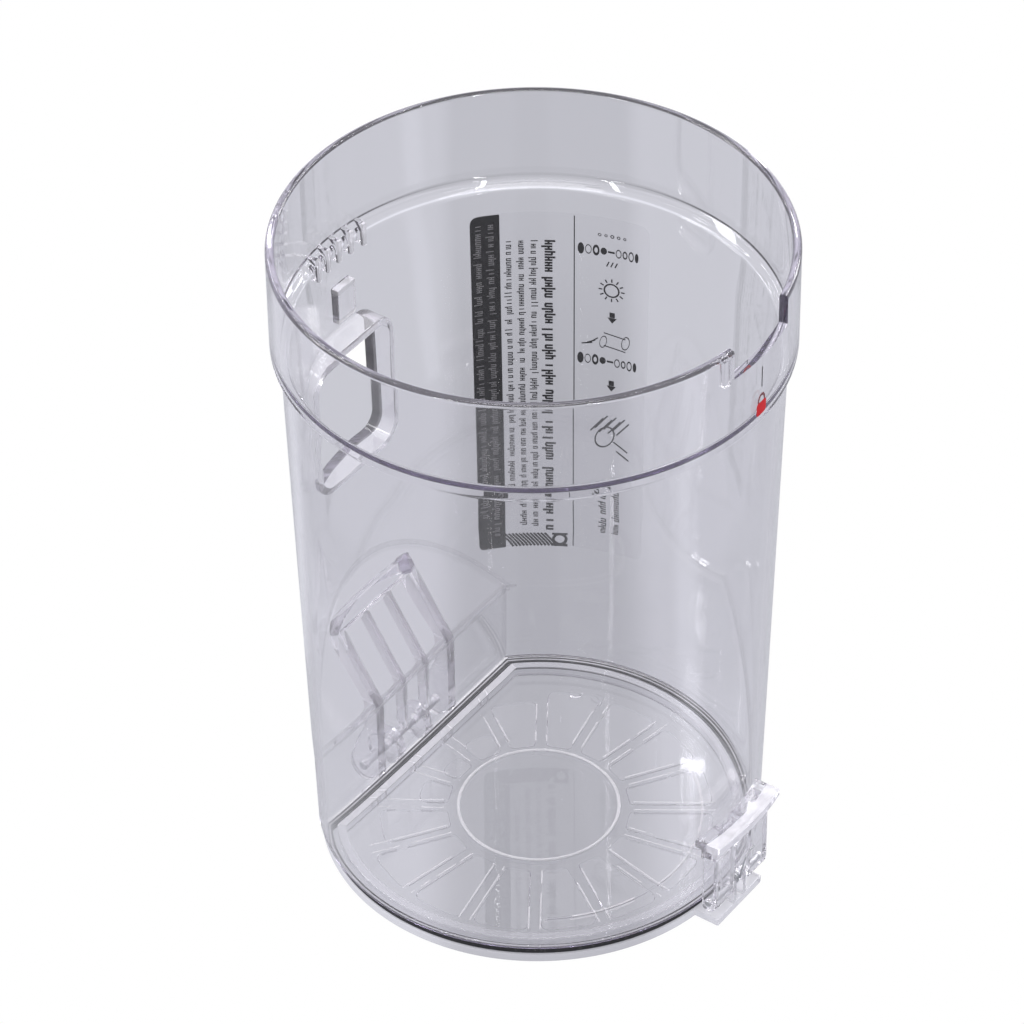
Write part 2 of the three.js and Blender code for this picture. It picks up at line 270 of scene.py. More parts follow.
def rod(name: str, radius: float, plane: Plane, at: Point, low: float, high: float) -> Piece:
    """A round bar across the plane it is drawn in.

    Args:
        name: The new piece's name.
        radius: The bar's radius.
        plane: The plane of its round section.
        at: Its centre in that plane.
        low: Where it starts along the third axis.
        high: Where it ends.

    Returns:
        The new solid.
    """
    return slab(name, arc(at, radius, 0, 360, 40)[:-1], plane, low, high)


def radial(name: str, degrees: float, width: float, reach: Point, rise: Point) -> Piece:
    """A box set across the wall at an angle round the cup.

    Args:
        name: The new piece's name.
        degrees: Where it stands round the cup, from +X.
        width: Its width along the wall.
        reach: Its inner and outer radius.
        rise: Its lowest and highest point.

    Returns:
        The new solid.
    """
    half = width / 2
    piece = block(name, (reach[0], -half, rise[0]), (reach[1], half, rise[1]))
    piece.rotation_euler = (0, 0, math.radians(degrees))
    select_only(piece)
    bpy.ops.object.transform_apply(location=True, rotation=True, scale=True)
    return piece


def apply_last(piece: Piece) -> None:
    """Applies the piece's newest modifier."""
    select_only(piece)
    bpy.ops.object.modifier_apply(modifier=piece.modifiers[-1].name)


def soften(piece: Piece, width: float, segments: int = 2, angle: float = 30.0) -> Piece:
    """Rounds the piece's sharp edges.

    Args:
        piece: The piece.
        width: How far the rounding reaches.
        segments: How many steps it takes.
        angle: The least angle in degrees at which an edge is rounded.

    Returns:
        The same piece.
    """
    bevel = piece.modifiers.new("rounding", "BEVEL")
    bevel.width = width
    bevel.segments = segments
    bevel.limit_method = "ANGLE"
    bevel.angle_limit = math.radians(angle)
    apply_last(piece)
    return piece


def combine(piece: Piece, tool: Piece, how: Cut) -> Piece:
    """Joins, cuts or trims a piece with a tool, which is then gone.

    Args:
        piece: The piece to change.
        tool: The solid that acts on it.
        how: What the tool does.

    Returns:
        The changed piece.
    """
    boolean = piece.modifiers.new("combine", "BOOLEAN")
    boolean.operation = how.value
    boolean.object = tool
    boolean.solver = "MANIFOLD"
    apply_last(piece)
    bpy.data.objects.remove(tool)
    return piece


def gathered(pieces: Sequence[Piece]) -> Piece:
    """Makes one object of several that don't overlap."""
    bpy.ops.object.select_all(action="DESELECT")
    for piece in pieces:
        piece.select_set(True)
    bpy.context.view_layer.objects.active = pieces[0]
    bpy.ops.object.join()
    return pieces[0]


def mirrored(piece: Piece) -> Piece:
    """Adds the piece's mirror image across the middle plane."""
    mirror = piece.modifiers.new("mirror", "MIRROR")
    mirror.use_axis = (True, False, False)
    apply_last(piece)
    tidy_normals(piece)
    return piece


def finish_mesh(piece: Piece, smooth: float = 32.0) -> Piece:
    """Brings a piece from millimetres to metres and smooths its faces.

    Args:
        piece: The piece, modelled in millimetres.
        smooth: The greatest angle in degrees that is shaded as one surface.

    Returns:
        The same piece.
    """
    piece.scale = (MM, MM, MM)
    select_only(piece)
    bpy.ops.object.transform_apply(location=True, rotation=True, scale=True)
    bpy.ops.object.shade_smooth_by_angle(angle=math.radians(smooth))
    even = piece.modifiers.new("even_faces", "WEIGHTED_NORMAL")
    even.keep_sharp = True
    apply_last(piece)
    return piece


def hand_over(piece: Piece, material: bpy.types.Material, body: str,
              stands_for: Sequence[str] = ()) -> Piece:
    """Dresses a finished piece and sets what it rides on.

    Args:
        piece: The piece, in metres and in place.
        material: Its material.
        body: The body that it moves with.
        stands_for: The CAD nodes that it replaces.

    Returns:
        The same piece.
    """
    piece.data.materials.clear()
    piece.data.materials.append(material)
    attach(piece, body)
    if stands_for:
        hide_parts(*stands_for)
    log.info("%s: %d faces on %s", piece.name, len(piece.data.polygons), body)
    return piece


# ---------------------------------------------------------------- shader maths


class Value:
    """A shader output that takes part in Python arithmetic."""

    def __init__(self, graph: "Graph", socket: bpy.types.NodeSocket) -> None:
        """Holds a graph's output socket."""
        self.graph = graph
        self.socket = socket

    def __add__(self, other: "Number") -> "Value":
        """The sum of two values."""
        return self.graph.maths("ADD", self, other)

    def __sub__(self, other: "Number") -> "Value":
        """This value less another."""
        return self.graph.maths("SUBTRACT", self, other)

    def __rsub__(self, other: "Number") -> "Value":
        """Another value less this one."""
        return self.graph.maths("SUBTRACT", other, self)

    def __mul__(self, other: "Number") -> "Value":
        """The product of two values."""
        return self.graph.maths("MULTIPLY", self, other)

    def __gt__(self, other: "Number") -> "Value":
        """One where this value is the greater, else nothing."""
        return self.graph.maths("GREATER_THAN", self, other)

    def __lt__(self, other: "Number") -> "Value":
        """One where this value is the smaller, else nothing."""
        return self.graph.maths("LESS_THAN", self, other)

    def __abs__(self) -> "Value":
        """This value without its sign."""
        return self.graph.maths("ABSOLUTE", self, 0.0)

    __radd__ = __add__
    __rmul__ = __mul__


Number = Union[float, Value]
Colour = tuple[float, float, float]


@dataclass(frozen=True)
class Spot:
    """Where a shaded point lies on the canister, in millimetres."""

    x: Value
    y: Value
    z: Value
    away: Value


class Graph:
    """The node tree of a material, or of the world."""

    def __init__(self, name: str, world: Optional[bpy.types.World] = None) -> None:
        """Starts an empty node tree.

        Args:
            name: The new material's name.
            world: The world whose tree is used instead of a new material's.
        """
        self.owner = bpy.data.materials.new(name) if world is None else world
        self.owner.use_nodes = True
        self.tree = self.owner.node_tree
        self.tree.nodes.clear()

    def node(self, kind: str, settings: Optional[dict[str, Any]] = None,
             inputs: Optional[dict[Union[str, int], Any]] = None) -> bpy.types.Node:
        """Adds a node.

        Args:
            kind: The node's type.
            settings: Properties to set first. "stops" are a ramp's places and colours.
            inputs: Values or links for its sockets, by name or number.

        Returns:
            The new node.
        """
        made = self.tree.nodes.new(kind)
        for key, setting in (settings or {}).items():
            if key == "stops":
                self._set_stops(made, setting)
            else:
                setattr(made, key, setting)
        for key, given in (inputs or {}).items():
            if isinstance(given, Value):
                self.tree.links.new(given.socket, made.inputs[key])
            else:
                made.inputs[key].default_value = given
        return made

    @staticmethod
    def _set_stops(ramp: bpy.types.Node, stops: Sequence[tuple[float, Colour]]) -> None:
        """Gives a ramp its stops."""
        elements = ramp.color_ramp.elements
        while len(elements) < len(stops):
            elements.new(0.5)
        for element, (place, colour) in zip(elements, stops):
            element.position = place
            element.color = (*colour, 1.0)

    def value(self, node: bpy.types.Node, output: Union[str, int] = 0) -> Value:
        """Wraps one of a node's outputs."""
        return Value(self, node.outputs[output])

    def maths(self, operation: str, a: Number, b: Number) -> Value:
        """Adds a Math node on two values."""
        made = self.node("ShaderNodeMath", {"operation": operation}, {0: a, 1: b})
        return self.value(made)

    def place(self, stretch: Colour = (1.0, 1.0, 1.0)) -> Value:
        """The point on the object in metres, stretched for a pattern."""
        coordinates = self.value(self.node("ShaderNodeTexCoord"), "Object")
        mapping = self.node("ShaderNodeMapping", None, {"Vector": coordinates, "Scale": stretch})
        return self.value(mapping)

    def spot(self) -> "Spot":
        """The point on the object in millimetres, and how far it is from the middle axis."""
        split = self.node("ShaderNodeSeparateXYZ", None, {0: self.place()})
        x, y, z = (self.value(split, axis) * (1 / MM) for axis in "XYZ")
        return Spot(x, y, z, self.maths("SQRT", x * x + y * y, 0.0))

    def noise(self, scale: float, detail: float = 3.0, stretch: Colour = (1.0, 1.0, 1.0)) -> Value:
        """A noise pattern from 0 to 1.

        Args:
            scale: How many times it repeats in a metre.
            detail: How many finer layers it has.
            stretch: How much it is drawn together along each axis.

        Returns:
            The pattern's value.
        """
        inputs = {"Vector": self.place(stretch), "Scale": scale, "Detail": detail}
        return self.value(self.node("ShaderNodeTexNoise", None, inputs), "Fac")

    def tint(self, factor: Number, low: Colour, high: Colour) -> Value:
        """A colour between two others.

        Args:
            factor: 0 for the first colour and 1 for the second.
            low: The first colour.
            high: The second colour.

        Returns:
            The mixed colour.
        """
        made = self.node("ShaderNodeMix", {"data_type": "RGBA"},
                         {0: factor, 6: (*low, 1.0), 7: (*high, 1.0)})
        return self.value(made, 2)

    def step(self, value: Value, start: float, end: float) -> Value:
        """A soft step from 0 at the start to 1 at the end."""
        inputs = {"Value": value, "From Min": start, "From Max": end}
        settings = {"interpolation_type": "SMOOTHSTEP"}
        return self.value(self.node("ShaderNodeMapRange", settings, inputs))

    def blend(self, factor: Number, low: Value, high: Colour) -> Value:
        """A varying colour brought towards a plain one by the factor."""
        made = self.node("ShaderNodeMix", {"data_type": "RGBA"},
                         {0: factor, 6: low, 7: (*high, 1.0)})
        return self.value(made, 2)

    def bump(self, height: Value, distance: float, strength: float = 1.0) -> Value:
        """A surface normal from a height pattern, with its depth in metres."""
        inputs = {"Height": height, "Distance": distance, "Strength": strength}
        return self.value(self.node("ShaderNodeBump", None, inputs), "Normal")

    def surface(self, shader: Value, volume: Optional[Value] = None) -> bpy.types.Material:
        """Closes the graph.

        Args:
            shader: The surface shader.
            volume: What fills the piece, if it isn't plain.

        Returns:
            The finished material.
        """
        inputs = {"Surface": shader}
        if volume is not None:
            inputs["Volume"] = volume
        self.node("ShaderNodeOutputMaterial", None, inputs)
        return self.owner


# ---------------------------------------------------------------- finishes


@dataclass(frozen=True)
class ClearPlastic:
    """Moulded clear plastic with faint smudges, scuffs and mould flow, and a rough white painted on in
    places as highlights.
    """

    tint: Colour = (0.99, 0.988, 0.995)
    worn_tint: Colour = (0.975, 0.972, 0.985)
    depth_tint: Colour = (0.28, 0.18, 0.46)
    depth: float = 11.0
    roughness: float = 0.004
    smudge: float = 0.03
    scuff: float = 0.02
    waviness: float = 0.000008
    ior: float = 1.54
    clearness: float = 0.99
    shade: float = 0.93
    highlight_tint: Colour = (0.93, 0.92, 0.96)
    highlight_smudged_tint: Colour = (0.88, 0.87, 0.92)
    highlight_roughness: float = 0.25

    def material(self, name: str, painted_highlights: Callable[[Graph], Value]) -> bpy.types.Material:
        """Builds the finish.

        Args:
            name: The material's name.
            painted_highlights: Says how much rough white is painted on as highlight at each point, from
                0 to 1.

        Returns:
            The new material.
        """
        graph = Graph(name)
        smudges = graph.noise(26.0, 5.0)
        scuffs = graph.noise(900.0, 2.0, (1.0, 1.0, 0.25)) > 0.7
        flow = graph.noise(45.0, 1.0, (1.0, 1.0, 0.35))
        colour = graph.tint(smudges, self.tint, self.worn_tint)
        roughness = self.roughness + self.smudge * smudges * smudges + scuffs * self.scuff
        plastic = graph.node("ShaderNodeBsdfPrincipled", None, {
            "Base Color": colour,
            "Roughness": roughness,
            "IOR": self.ior,
            "Transmission Weight": self.clearness,
            "Normal": graph.bump(flow, self.waviness),
        })
        # A rough white shader, mixed in wherever highlights are painted on the clear plastic.
        highlight_white = graph.node("ShaderNodeBsdfPrincipled", None, {
            "Base Color": graph.tint(smudges, self.highlight_tint, self.highlight_smudged_tint),
            "Roughness": self.highlight_roughness + smudges * 0.2,
        })
        plastic_and_highlights = graph.node("ShaderNodeMixShader", None, {
            0: painted_highlights(graph),
            1: graph.value(plastic),
            2: graph.value(highlight_white),
        })
        clear = graph.node("ShaderNodeBsdfTransparent", None,
                           {"Color": (self.shade, self.shade, self.shade, 1.0)})
        path = graph.node("ShaderNodeLightPath")
        both = graph.node("ShaderNodeMixShader", None, {
            0: graph.value(path, "Is Shadow Ray"),
            1: graph.value(plastic_and_highlights),
            2: graph.value(clear),
        })
        absorption = graph.node("ShaderNodeVolumeAbsorption", None,
                                {"Color": (*self.depth_tint, 1.0), "Density": self.depth})
        return graph.surface(graph.value(both), graph.value(absorption))


@dataclass(frozen=True)
class ThinFilm:
    """A clear film that veils what is behind it a little."""

    base: Colour = (0.4, 0.4, 0.43)
    cloudy: Colour = (0.58, 0.58, 0.6)
    roughness: float = 0.3
    veil: float = 0.04

    def material(self, name: str) -> bpy.types.Material:
        """Builds the finish.

        Args:
            name: The material's name.

        Returns:
            The new material.
        """
        graph = Graph(name)
        cloud = graph.noise(60.0, 3.0)
        film = graph.node("ShaderNodeBsdfPrincipled", None, {
            "Base Color": graph.tint(cloud, self.base, self.cloudy),
            "Roughness": self.roughness + cloud * 0.1,
            "Alpha": self.veil + cloud * 0.04,
        })
        return graph.surface(graph.value(film))


@dataclass(frozen=True)
class SoftRubber:
    """Matt black rubber with a fine grain, a little dust and pale lines painted along it.

    The lines are painted highlights, in colour alone. Their places are in millimetres, and the inset is
    how much nearer the straight back edge lies than the round one.
    """

    base: Colour = (0.012, 0.012, 0.014)
    dust: Colour = (0.05, 0.048, 0.05)
    highlight_line_tint: Colour = (0.78, 0.77, 0.82)
    highlight_radii: Point = (49.25, 50.1)
    highlight_heights: Point = (2.95, 3.7)
    highlight_half_width: float = 0.16
    inset: float = 15.0
    roughness: float = 0.5

    def material(self, name: str) -> bpy.types.Material:
        """Builds the finish.

        Args:
            name: The material's name.

        Returns:
            The new material.
        """
        graph = Graph(name)
        grain = graph.noise(2600.0, 2.0)
        specks = graph.noise(1500.0, 1.0) > 0.66
        spot = graph.spot()
        # Painted highlights: pale lines along the seal's outline, and along its inner face at two
        # heights.
        across = graph.maths("MAXIMUM", spot.away, spot.y + self.inset)
        pale = sum(abs(across - radius) < self.highlight_half_width for radius in self.highlight_radii)
        lines = sum(abs(spot.z - height) < self.highlight_half_width for height in self.highlight_heights)
        pale = pale + lines * (across < self.highlight_radii[0])
        pale = pale * (0.45 + 0.8 * graph.noise(140.0, 2.0))
        speckled = graph.tint(specks, self.base, self.dust)
        rubber = graph.node("ShaderNodeBsdfPrincipled", None, {
            "Base Color": graph.blend(pale, speckled, self.highlight_line_tint),
            "Roughness": self.roughness + grain * 0.25,
            "Normal": graph.bump(grain, 0.00006),
        })
        return graph.surface(graph.value(rubber))


@dataclass(frozen=True)
class BrightSteel:
    """Drawn steel wire and pin stock, with fine lines along its length."""

    base: Colour = (0.62, 0.63, 0.65)
    dull: Colour = (0.42, 0.42, 0.44)
    roughness: float = 0.2

    def material(self, name: str) -> bpy.types.Material:
        """Builds the finish.

        Args:
            name: The material's name.

        Returns:
            The new material.
        """
        graph = Graph(name)
        lines = graph.noise(3200.0, 2.0, (0.04, 1.0, 1.0))
        steel = graph.node("ShaderNodeBsdfPrincipled", None, {
            "Base Color": graph.tint(lines, self.base, self.dull),
            "Roughness": self.roughness + lines * 0.2,
            "Metallic": 1.0,
            "Normal": graph.bump(lines, 0.00001),
        })
        return graph.surface(graph.value(steel))


@dataclass(frozen=True)
class PrintInk:
    """Screen-printed ink with a slightly uneven coat."""

    base: Colour
    worn: Colour
    roughness: float = 0.4
    gloss: float = 0.1

    def material(self, name: str) -> bpy.types.Material:
        """Builds the finish.

        Args:
            name: The material's name.

        Returns:
            The new material.
        """
        graph = Graph(name)
        coat = graph.noise(420.0, 4.0)
        ink = graph.node("ShaderNodeBsdfPrincipled", None, {
            "Base Color": graph.tint(coat, self.base, self.worn),
            "Roughness": self.roughness + coat * 0.15,
            "Specular IOR Level": self.gloss,
            "Normal": graph.bump(coat, 0.000005),
        })
        return graph.surface(graph.value(ink))


# ---------------------------------------------------------------- the cup


@dataclass
class Cup:
    """The clear cup: body, collar, back pocket, hinge bracket, inlet and latch catch."""

    finish: ClearPlastic
    top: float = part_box("cup_shell")[1].z / MM
    collar_radius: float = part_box("cup_shell")[1].x / MM
    bottom: float = 4.6
    wall: float = 2.0
    collar_bottom: float = 140.3
    body_top_radius: float = 55.4
    body_bottom_radius: float = 51.7
    chord: float = 36.7
    fold: float = 26.0
    slope: float = math.radians(56)
    hinge: Point = (41.5, 5.0)
    knuckle: float = 4.3
    cheek: Point = (12.6, 15.4)
    notch: Point = (-98.0, -75.5)
    notch_floor: float = 158.6
    inlet_sides: Point = (-20.0, 11.0)
    inlet_rise: Point = (84.5, 120.5)
    inlet_corner: float = 6.0
    inlet_wall: float = 1.8
    inlet_inner: float = 46.6
    boss_rise: Point = (122.6, 132.0)
    # How much rough white is painted on the cup as highlights, place by place.
    highlight_bracket: Point = (0.14, 0.62)
    highlight_fold: float = 0.35
    highlight_dome: float = 0.2
    highlight_duct: float = 0.13
    highlight_boss: float = 0.32

    def body_radius(self, height: float) -> float:
        """The outside radius of the tapering body at a height."""
        share = (height - self.bottom) / (self.collar_bottom - self.bottom)
        return self.body_bottom_radius + (self.body_top_radius - self.body_bottom_radius) * share

    def on_slope(self, along: float, out: float) -> Point:
        """The point this far up the slope from the fold and out from its face."""
        return (
            self.chord + along * math.cos(self.slope) + out * math.sin(self.slope),
            self.fold + along * math.sin(self.slope) - out * math.cos(self.slope),
        )

    def _body_line(self, inset: float, low: float, high: float) -> list[Point]:
        """Points up the tapering body, this far inside its outer face."""
        count = 12
        heights = [low + (high - low) * i / count for i in range(count + 1)]
        return [(self.body_radius(z) - inset, z) for z in heights]

    def _outside(self) -> Piece:
        """The solid inside the cup's outer face."""
        rim = self.collar_radius
        low = self.body_bottom_radius
        profile = [(0, self.bottom), *arc((low - 0.5, self.bottom + 0.5), 0.5, -90, 0, 4)]
        profile += self._body_line(0, self.bottom + 1, self.collar_bottom - 1.4)
        profile += [(self.body_top_radius + 0.3, self.collar_bottom - 0.6)]
        profile += arc((rim - 1.3, self.collar_bottom + 1.3), 1.3, -70, 0, 5)
        profile += arc((rim - 0.9, self.top - 0.9), 0.9, 0, 90, 6)
        profile += [(0, self.top)]
        solid = turned("cup_outside", profile)
        return combine(solid, self._pocket(0), Cut.REMOVE)

    def _inside(self) -> Piece:
        """The solid that the cup's inner face bounds."""
        low = self.body_bottom_radius - self.wall
        collar = self.collar_radius - self.wall
        step = self.collar_bottom + 1.4
        profile = [(0, self.bottom - 1), (low + 0.45, self.bottom - 1), (low + 0.45, self.bottom)]
        profile += self._body_line(self.wall, self.bottom + 0.5, step - 0.6)
        profile += [(self.body_top_radius - self.wall + 0.5, step + 0.2)]
        profile += arc((collar - 1.2, step + 2.4), 1.2, -60, 0, 5)
        profile += arc((collar + 0.6, self.top - 0.6), 0.6, 180, 90, 5)
        profile += [(collar + 0.6, self.top + 0.5), (0, self.top + 0.5)]
        solid = turned("cup_inside", profile)
        return combine(solid, self._pocket(self.wall), Cut.REMOVE)

    def _pocket(self, inset: float) -> Piece:
        """The space behind the flat back wall and under the slope.

        Args:
            inset: How far its faces are moved into the cup.

        Returns:
            The solid to cut away.
        """
        run, rise = math.cos(self.slope), math.sin(self.slope)
        fold_y = self.chord - inset
        fold_z = self.fold + inset * run - (inset - inset * rise) * rise / run
        reach = 60.0
        outline = rounded([
            (fold_y, -10, 0),
            (90, -10, 0),
            (90, fold_z + reach * rise, 0),
            (fold_y + reach * run, fold_z + reach * rise, 0),
            (fold_y, fold_z, 1.2),
        ], 6)
        return slab("pocket", outline, Plane.YZ, -80, 80)

    def _cheek(self) -> Piece:
        """One side plate of the hinge bracket, from the slope down to its knuckle."""
        y, z = self.hinge
        sink = self.wall / 2
        outline = [self.on_slope(23, -sink), (self.chord - sink, self.fold)]
        outline += [(self.chord - sink, self.bottom + 0.2), (y - 1, z - self.knuckle + 0.12)]
        outline += arc((y, z), self.knuckle, -102, 22, 14)
        waist = [(y + 1.9, 12.5), (self.chord + 4.2, 18), (self.chord + 3.4, self.fold - 3)]
        outline += waist
        outline += [self.on_slope(2, 3.2), self.on_slope(21, 5), self.on_slope(23, 4)]
        plate = slab("cheek", outline, Plane.YZ, *self.cheek)
        return mirrored(soften(plate, 0.45))

    def _slope_rib(self) -> Piece:
        """One of the two thin ribs between the cheeks."""
        sink = self.wall / 2
        face = self.chord + 2.4
        outline = [
            self.on_slope(20, -sink), (self.chord - sink, self.fold), (self.chord - sink, 11),
            (self.chord + 1, 11), (face, 13), (face, self.fold - 1.3), self.on_slope(20, 2.4),
        ]
        return mirrored(soften(slab("slope_rib", outline, Plane.YZ, 3.5, 5.1), 0.3))

    def _bracket(self) -> Piece:
        """The hinge bracket: cheeks, ribs and the bar across their top."""
        bar = [self.on_slope(18.6, -1), self.on_slope(18.6, 4.6),
               self.on_slope(22.6, 4.6), self.on_slope(22.6, -1)]
        side = self.cheek[1]
        bracket = soften(slab("hinge_bracket", bar, Plane.YZ, -side, side), 0.6, 3)
        for tool in (self._cheek(), self._slope_rib()):
            combine(bracket, tool, Cut.ADD)
        limit = [(0, 0), (self.body_radius(0), 0), (self.body_radius(60), 60), (0, 60)]
        return combine(bracket, turned("bracket_limit", limit), Cut.KEEP)

    def _duct(self) -> Piece:
        """The inlet duct that stands into the cup from the back wall."""
        outline = self._duct_outline(0)
        duct = soften(slab("duct", outline, Plane.XZ, self.inlet_inner, 62), 0.5, 3, 50)
        limit = [(0, 60), (self.body_radius(60) - 0.4, 60),
                 (self.body_radius(135) - 0.4, 135), (0, 135)]
        return combine(duct, turned("duct_limit", limit), Cut.KEEP)

    def _duct_outline(self, inset: float) -> list[Point]:
        """The duct's rounded outline, this far inside its outer face."""
        left, right = self.inlet_sides[0] + inset, self.inlet_sides[1] - inset
        low, high = self.inlet_rise[0] + inset, self.inlet_rise[1] - inset
        corner = self.inlet_corner - inset
        points = arc((right - corner, high - corner), corner, 0, 90, 8)
        points += arc((left + corner, high - corner), corner, 90, 180, 8)
        points += arc((left + corner, low + corner), corner, 180, 270, 8)
        points += arc((right - corner, low + corner), corner, 270, 360, 8)
        return points

    def _small_stops(self) -> Piece:
        """The five step ribs, the back boss, the latch catch and the notch stop."""
        inner = self.body_top_radius - self.wall
        pitch, count = 4.5, 5
        parts = []
        for i in range(count):
            degrees = 90 + (i - (count - 1) / 2) * pitch
            reach = (inner - 0.9, inner + 3.0)
            parts.append(soften(radial("step_rib", degrees, 1.2, reach, (137.5, 143.6)), 0.25))
        back = self.body_radius(116) - self.wall
        boss = radial("back_boss", 90, 6.5, (back - 1.6, back + 1), self.boss_rise)
        parts.append(soften(boss, 0.4))
        tip = -54.8
        catch = [(-50.8, 15), (-50.8, 20.2), (tip, 20.2), (tip, 19.2), (-51.6, 15)]
        parts.append(soften(slab("catch", catch, Plane.YZ, -2.3, 2.3), 0.25))
        inside = self.collar_radius - self.wall
        stop = radial("stop", self.notch[0] - 1.2, 2, (inside - 1.3, inside + 1), (156.8, 163.6))
        parts.append(soften(stop, 0.3))
        return gathered(parts)

    def _openings(self) -> Piece:
        """What is cut through the wall: the inlet, the rim notch and the pin holes."""
        inlet = slab("inlet", self._duct_outline(self.inlet_wall), Plane.XZ, 41, 70)
        sector = [(0, 0), *arc((0, 0), 80, *self.notch, 12)]
        notch = slab("notch", sector, Plane.XY, self.notch_floor, self.top + 10)
        y, z = self.hinge
        holes = rod("pin_hole", 1.25, Plane.YZ, (y, z), -40, 40)
        return gathered([inlet, notch, holes])

    def _painted_highlights(self, graph: Graph) -> Value:
        """Where highlights are painted on the cup in rough white: bracket, fold and dome line behind,
        duct and ribs inside.
        """
        spot = graph.spot()
        rise = (spot.y - self.chord) * math.sin(self.slope)
        out = rise - (spot.z - self.fold) * math.cos(self.slope)
        bracket = (spot.y > self.chord + 0.25) * (out > 0.3) * (spot.z < 50.0)
        bracket = bracket * (spot.away < self.body_radius(self.fold) - 2.4)
        low, more = self.highlight_bracket
        bracket = bracket * (low + more * graph.step(spot.z, 14.0, self.fold))
        fold = (abs(spot.z - self.fold) < 0.4) * (spot.y > self.chord - self.wall - 0.5)
        taper = (self.body_top_radius - self.body_bottom_radius) / (self.collar_bottom - self.bottom)
        inner = spot.z * taper + (self.body_bottom_radius - self.bottom * taper - self.wall)
        dome = (abs(out + self.wall / 2) < 0.45) * (spot.away > inner - 0.35) * (spot.z > self.fold)
        inside = (spot.y > 40.0) * (spot.z > 80.0) * (spot.away < inner - 0.25)
        boss_ends = abs(spot.z - sum(self.boss_rise) / 2) > 3.4
        above = spot.z > self.inlet_rise[1] + 1.0
        inside = inside * (self.highlight_duct + self.highlight_boss * above * boss_ends)
        streaks = 0.55 + 0.9 * graph.noise(160.0, 3.0, (1.0, 1.0, 0.3))
        return (bracket + fold * self.highlight_fold + dome * self.highlight_dome + inside) * streaks

    def build(self) -> Piece:
        """Models the cup.

        Returns:
            The finished piece.
        """
        cup = combine(self._outside(), self._inside(), Cut.REMOVE)
        cup.name = "clear_cup"
        combine(cup, self._bracket(), Cut.ADD)
        combine(cup, self._duct(), Cut.ADD)
        combine(cup, self._small_stops(), Cut.ADD)
        combine(cup, self._openings(), Cut.REMOVE)
        tidy_normals(cup)
        finish_mesh(cup)
        return hand_over(cup, self.finish.material("clear_cup_plastic", self._painted_highlights), "cup_body",
                         ["cup_shell"])


# ---------------------------------------------------------------- the door


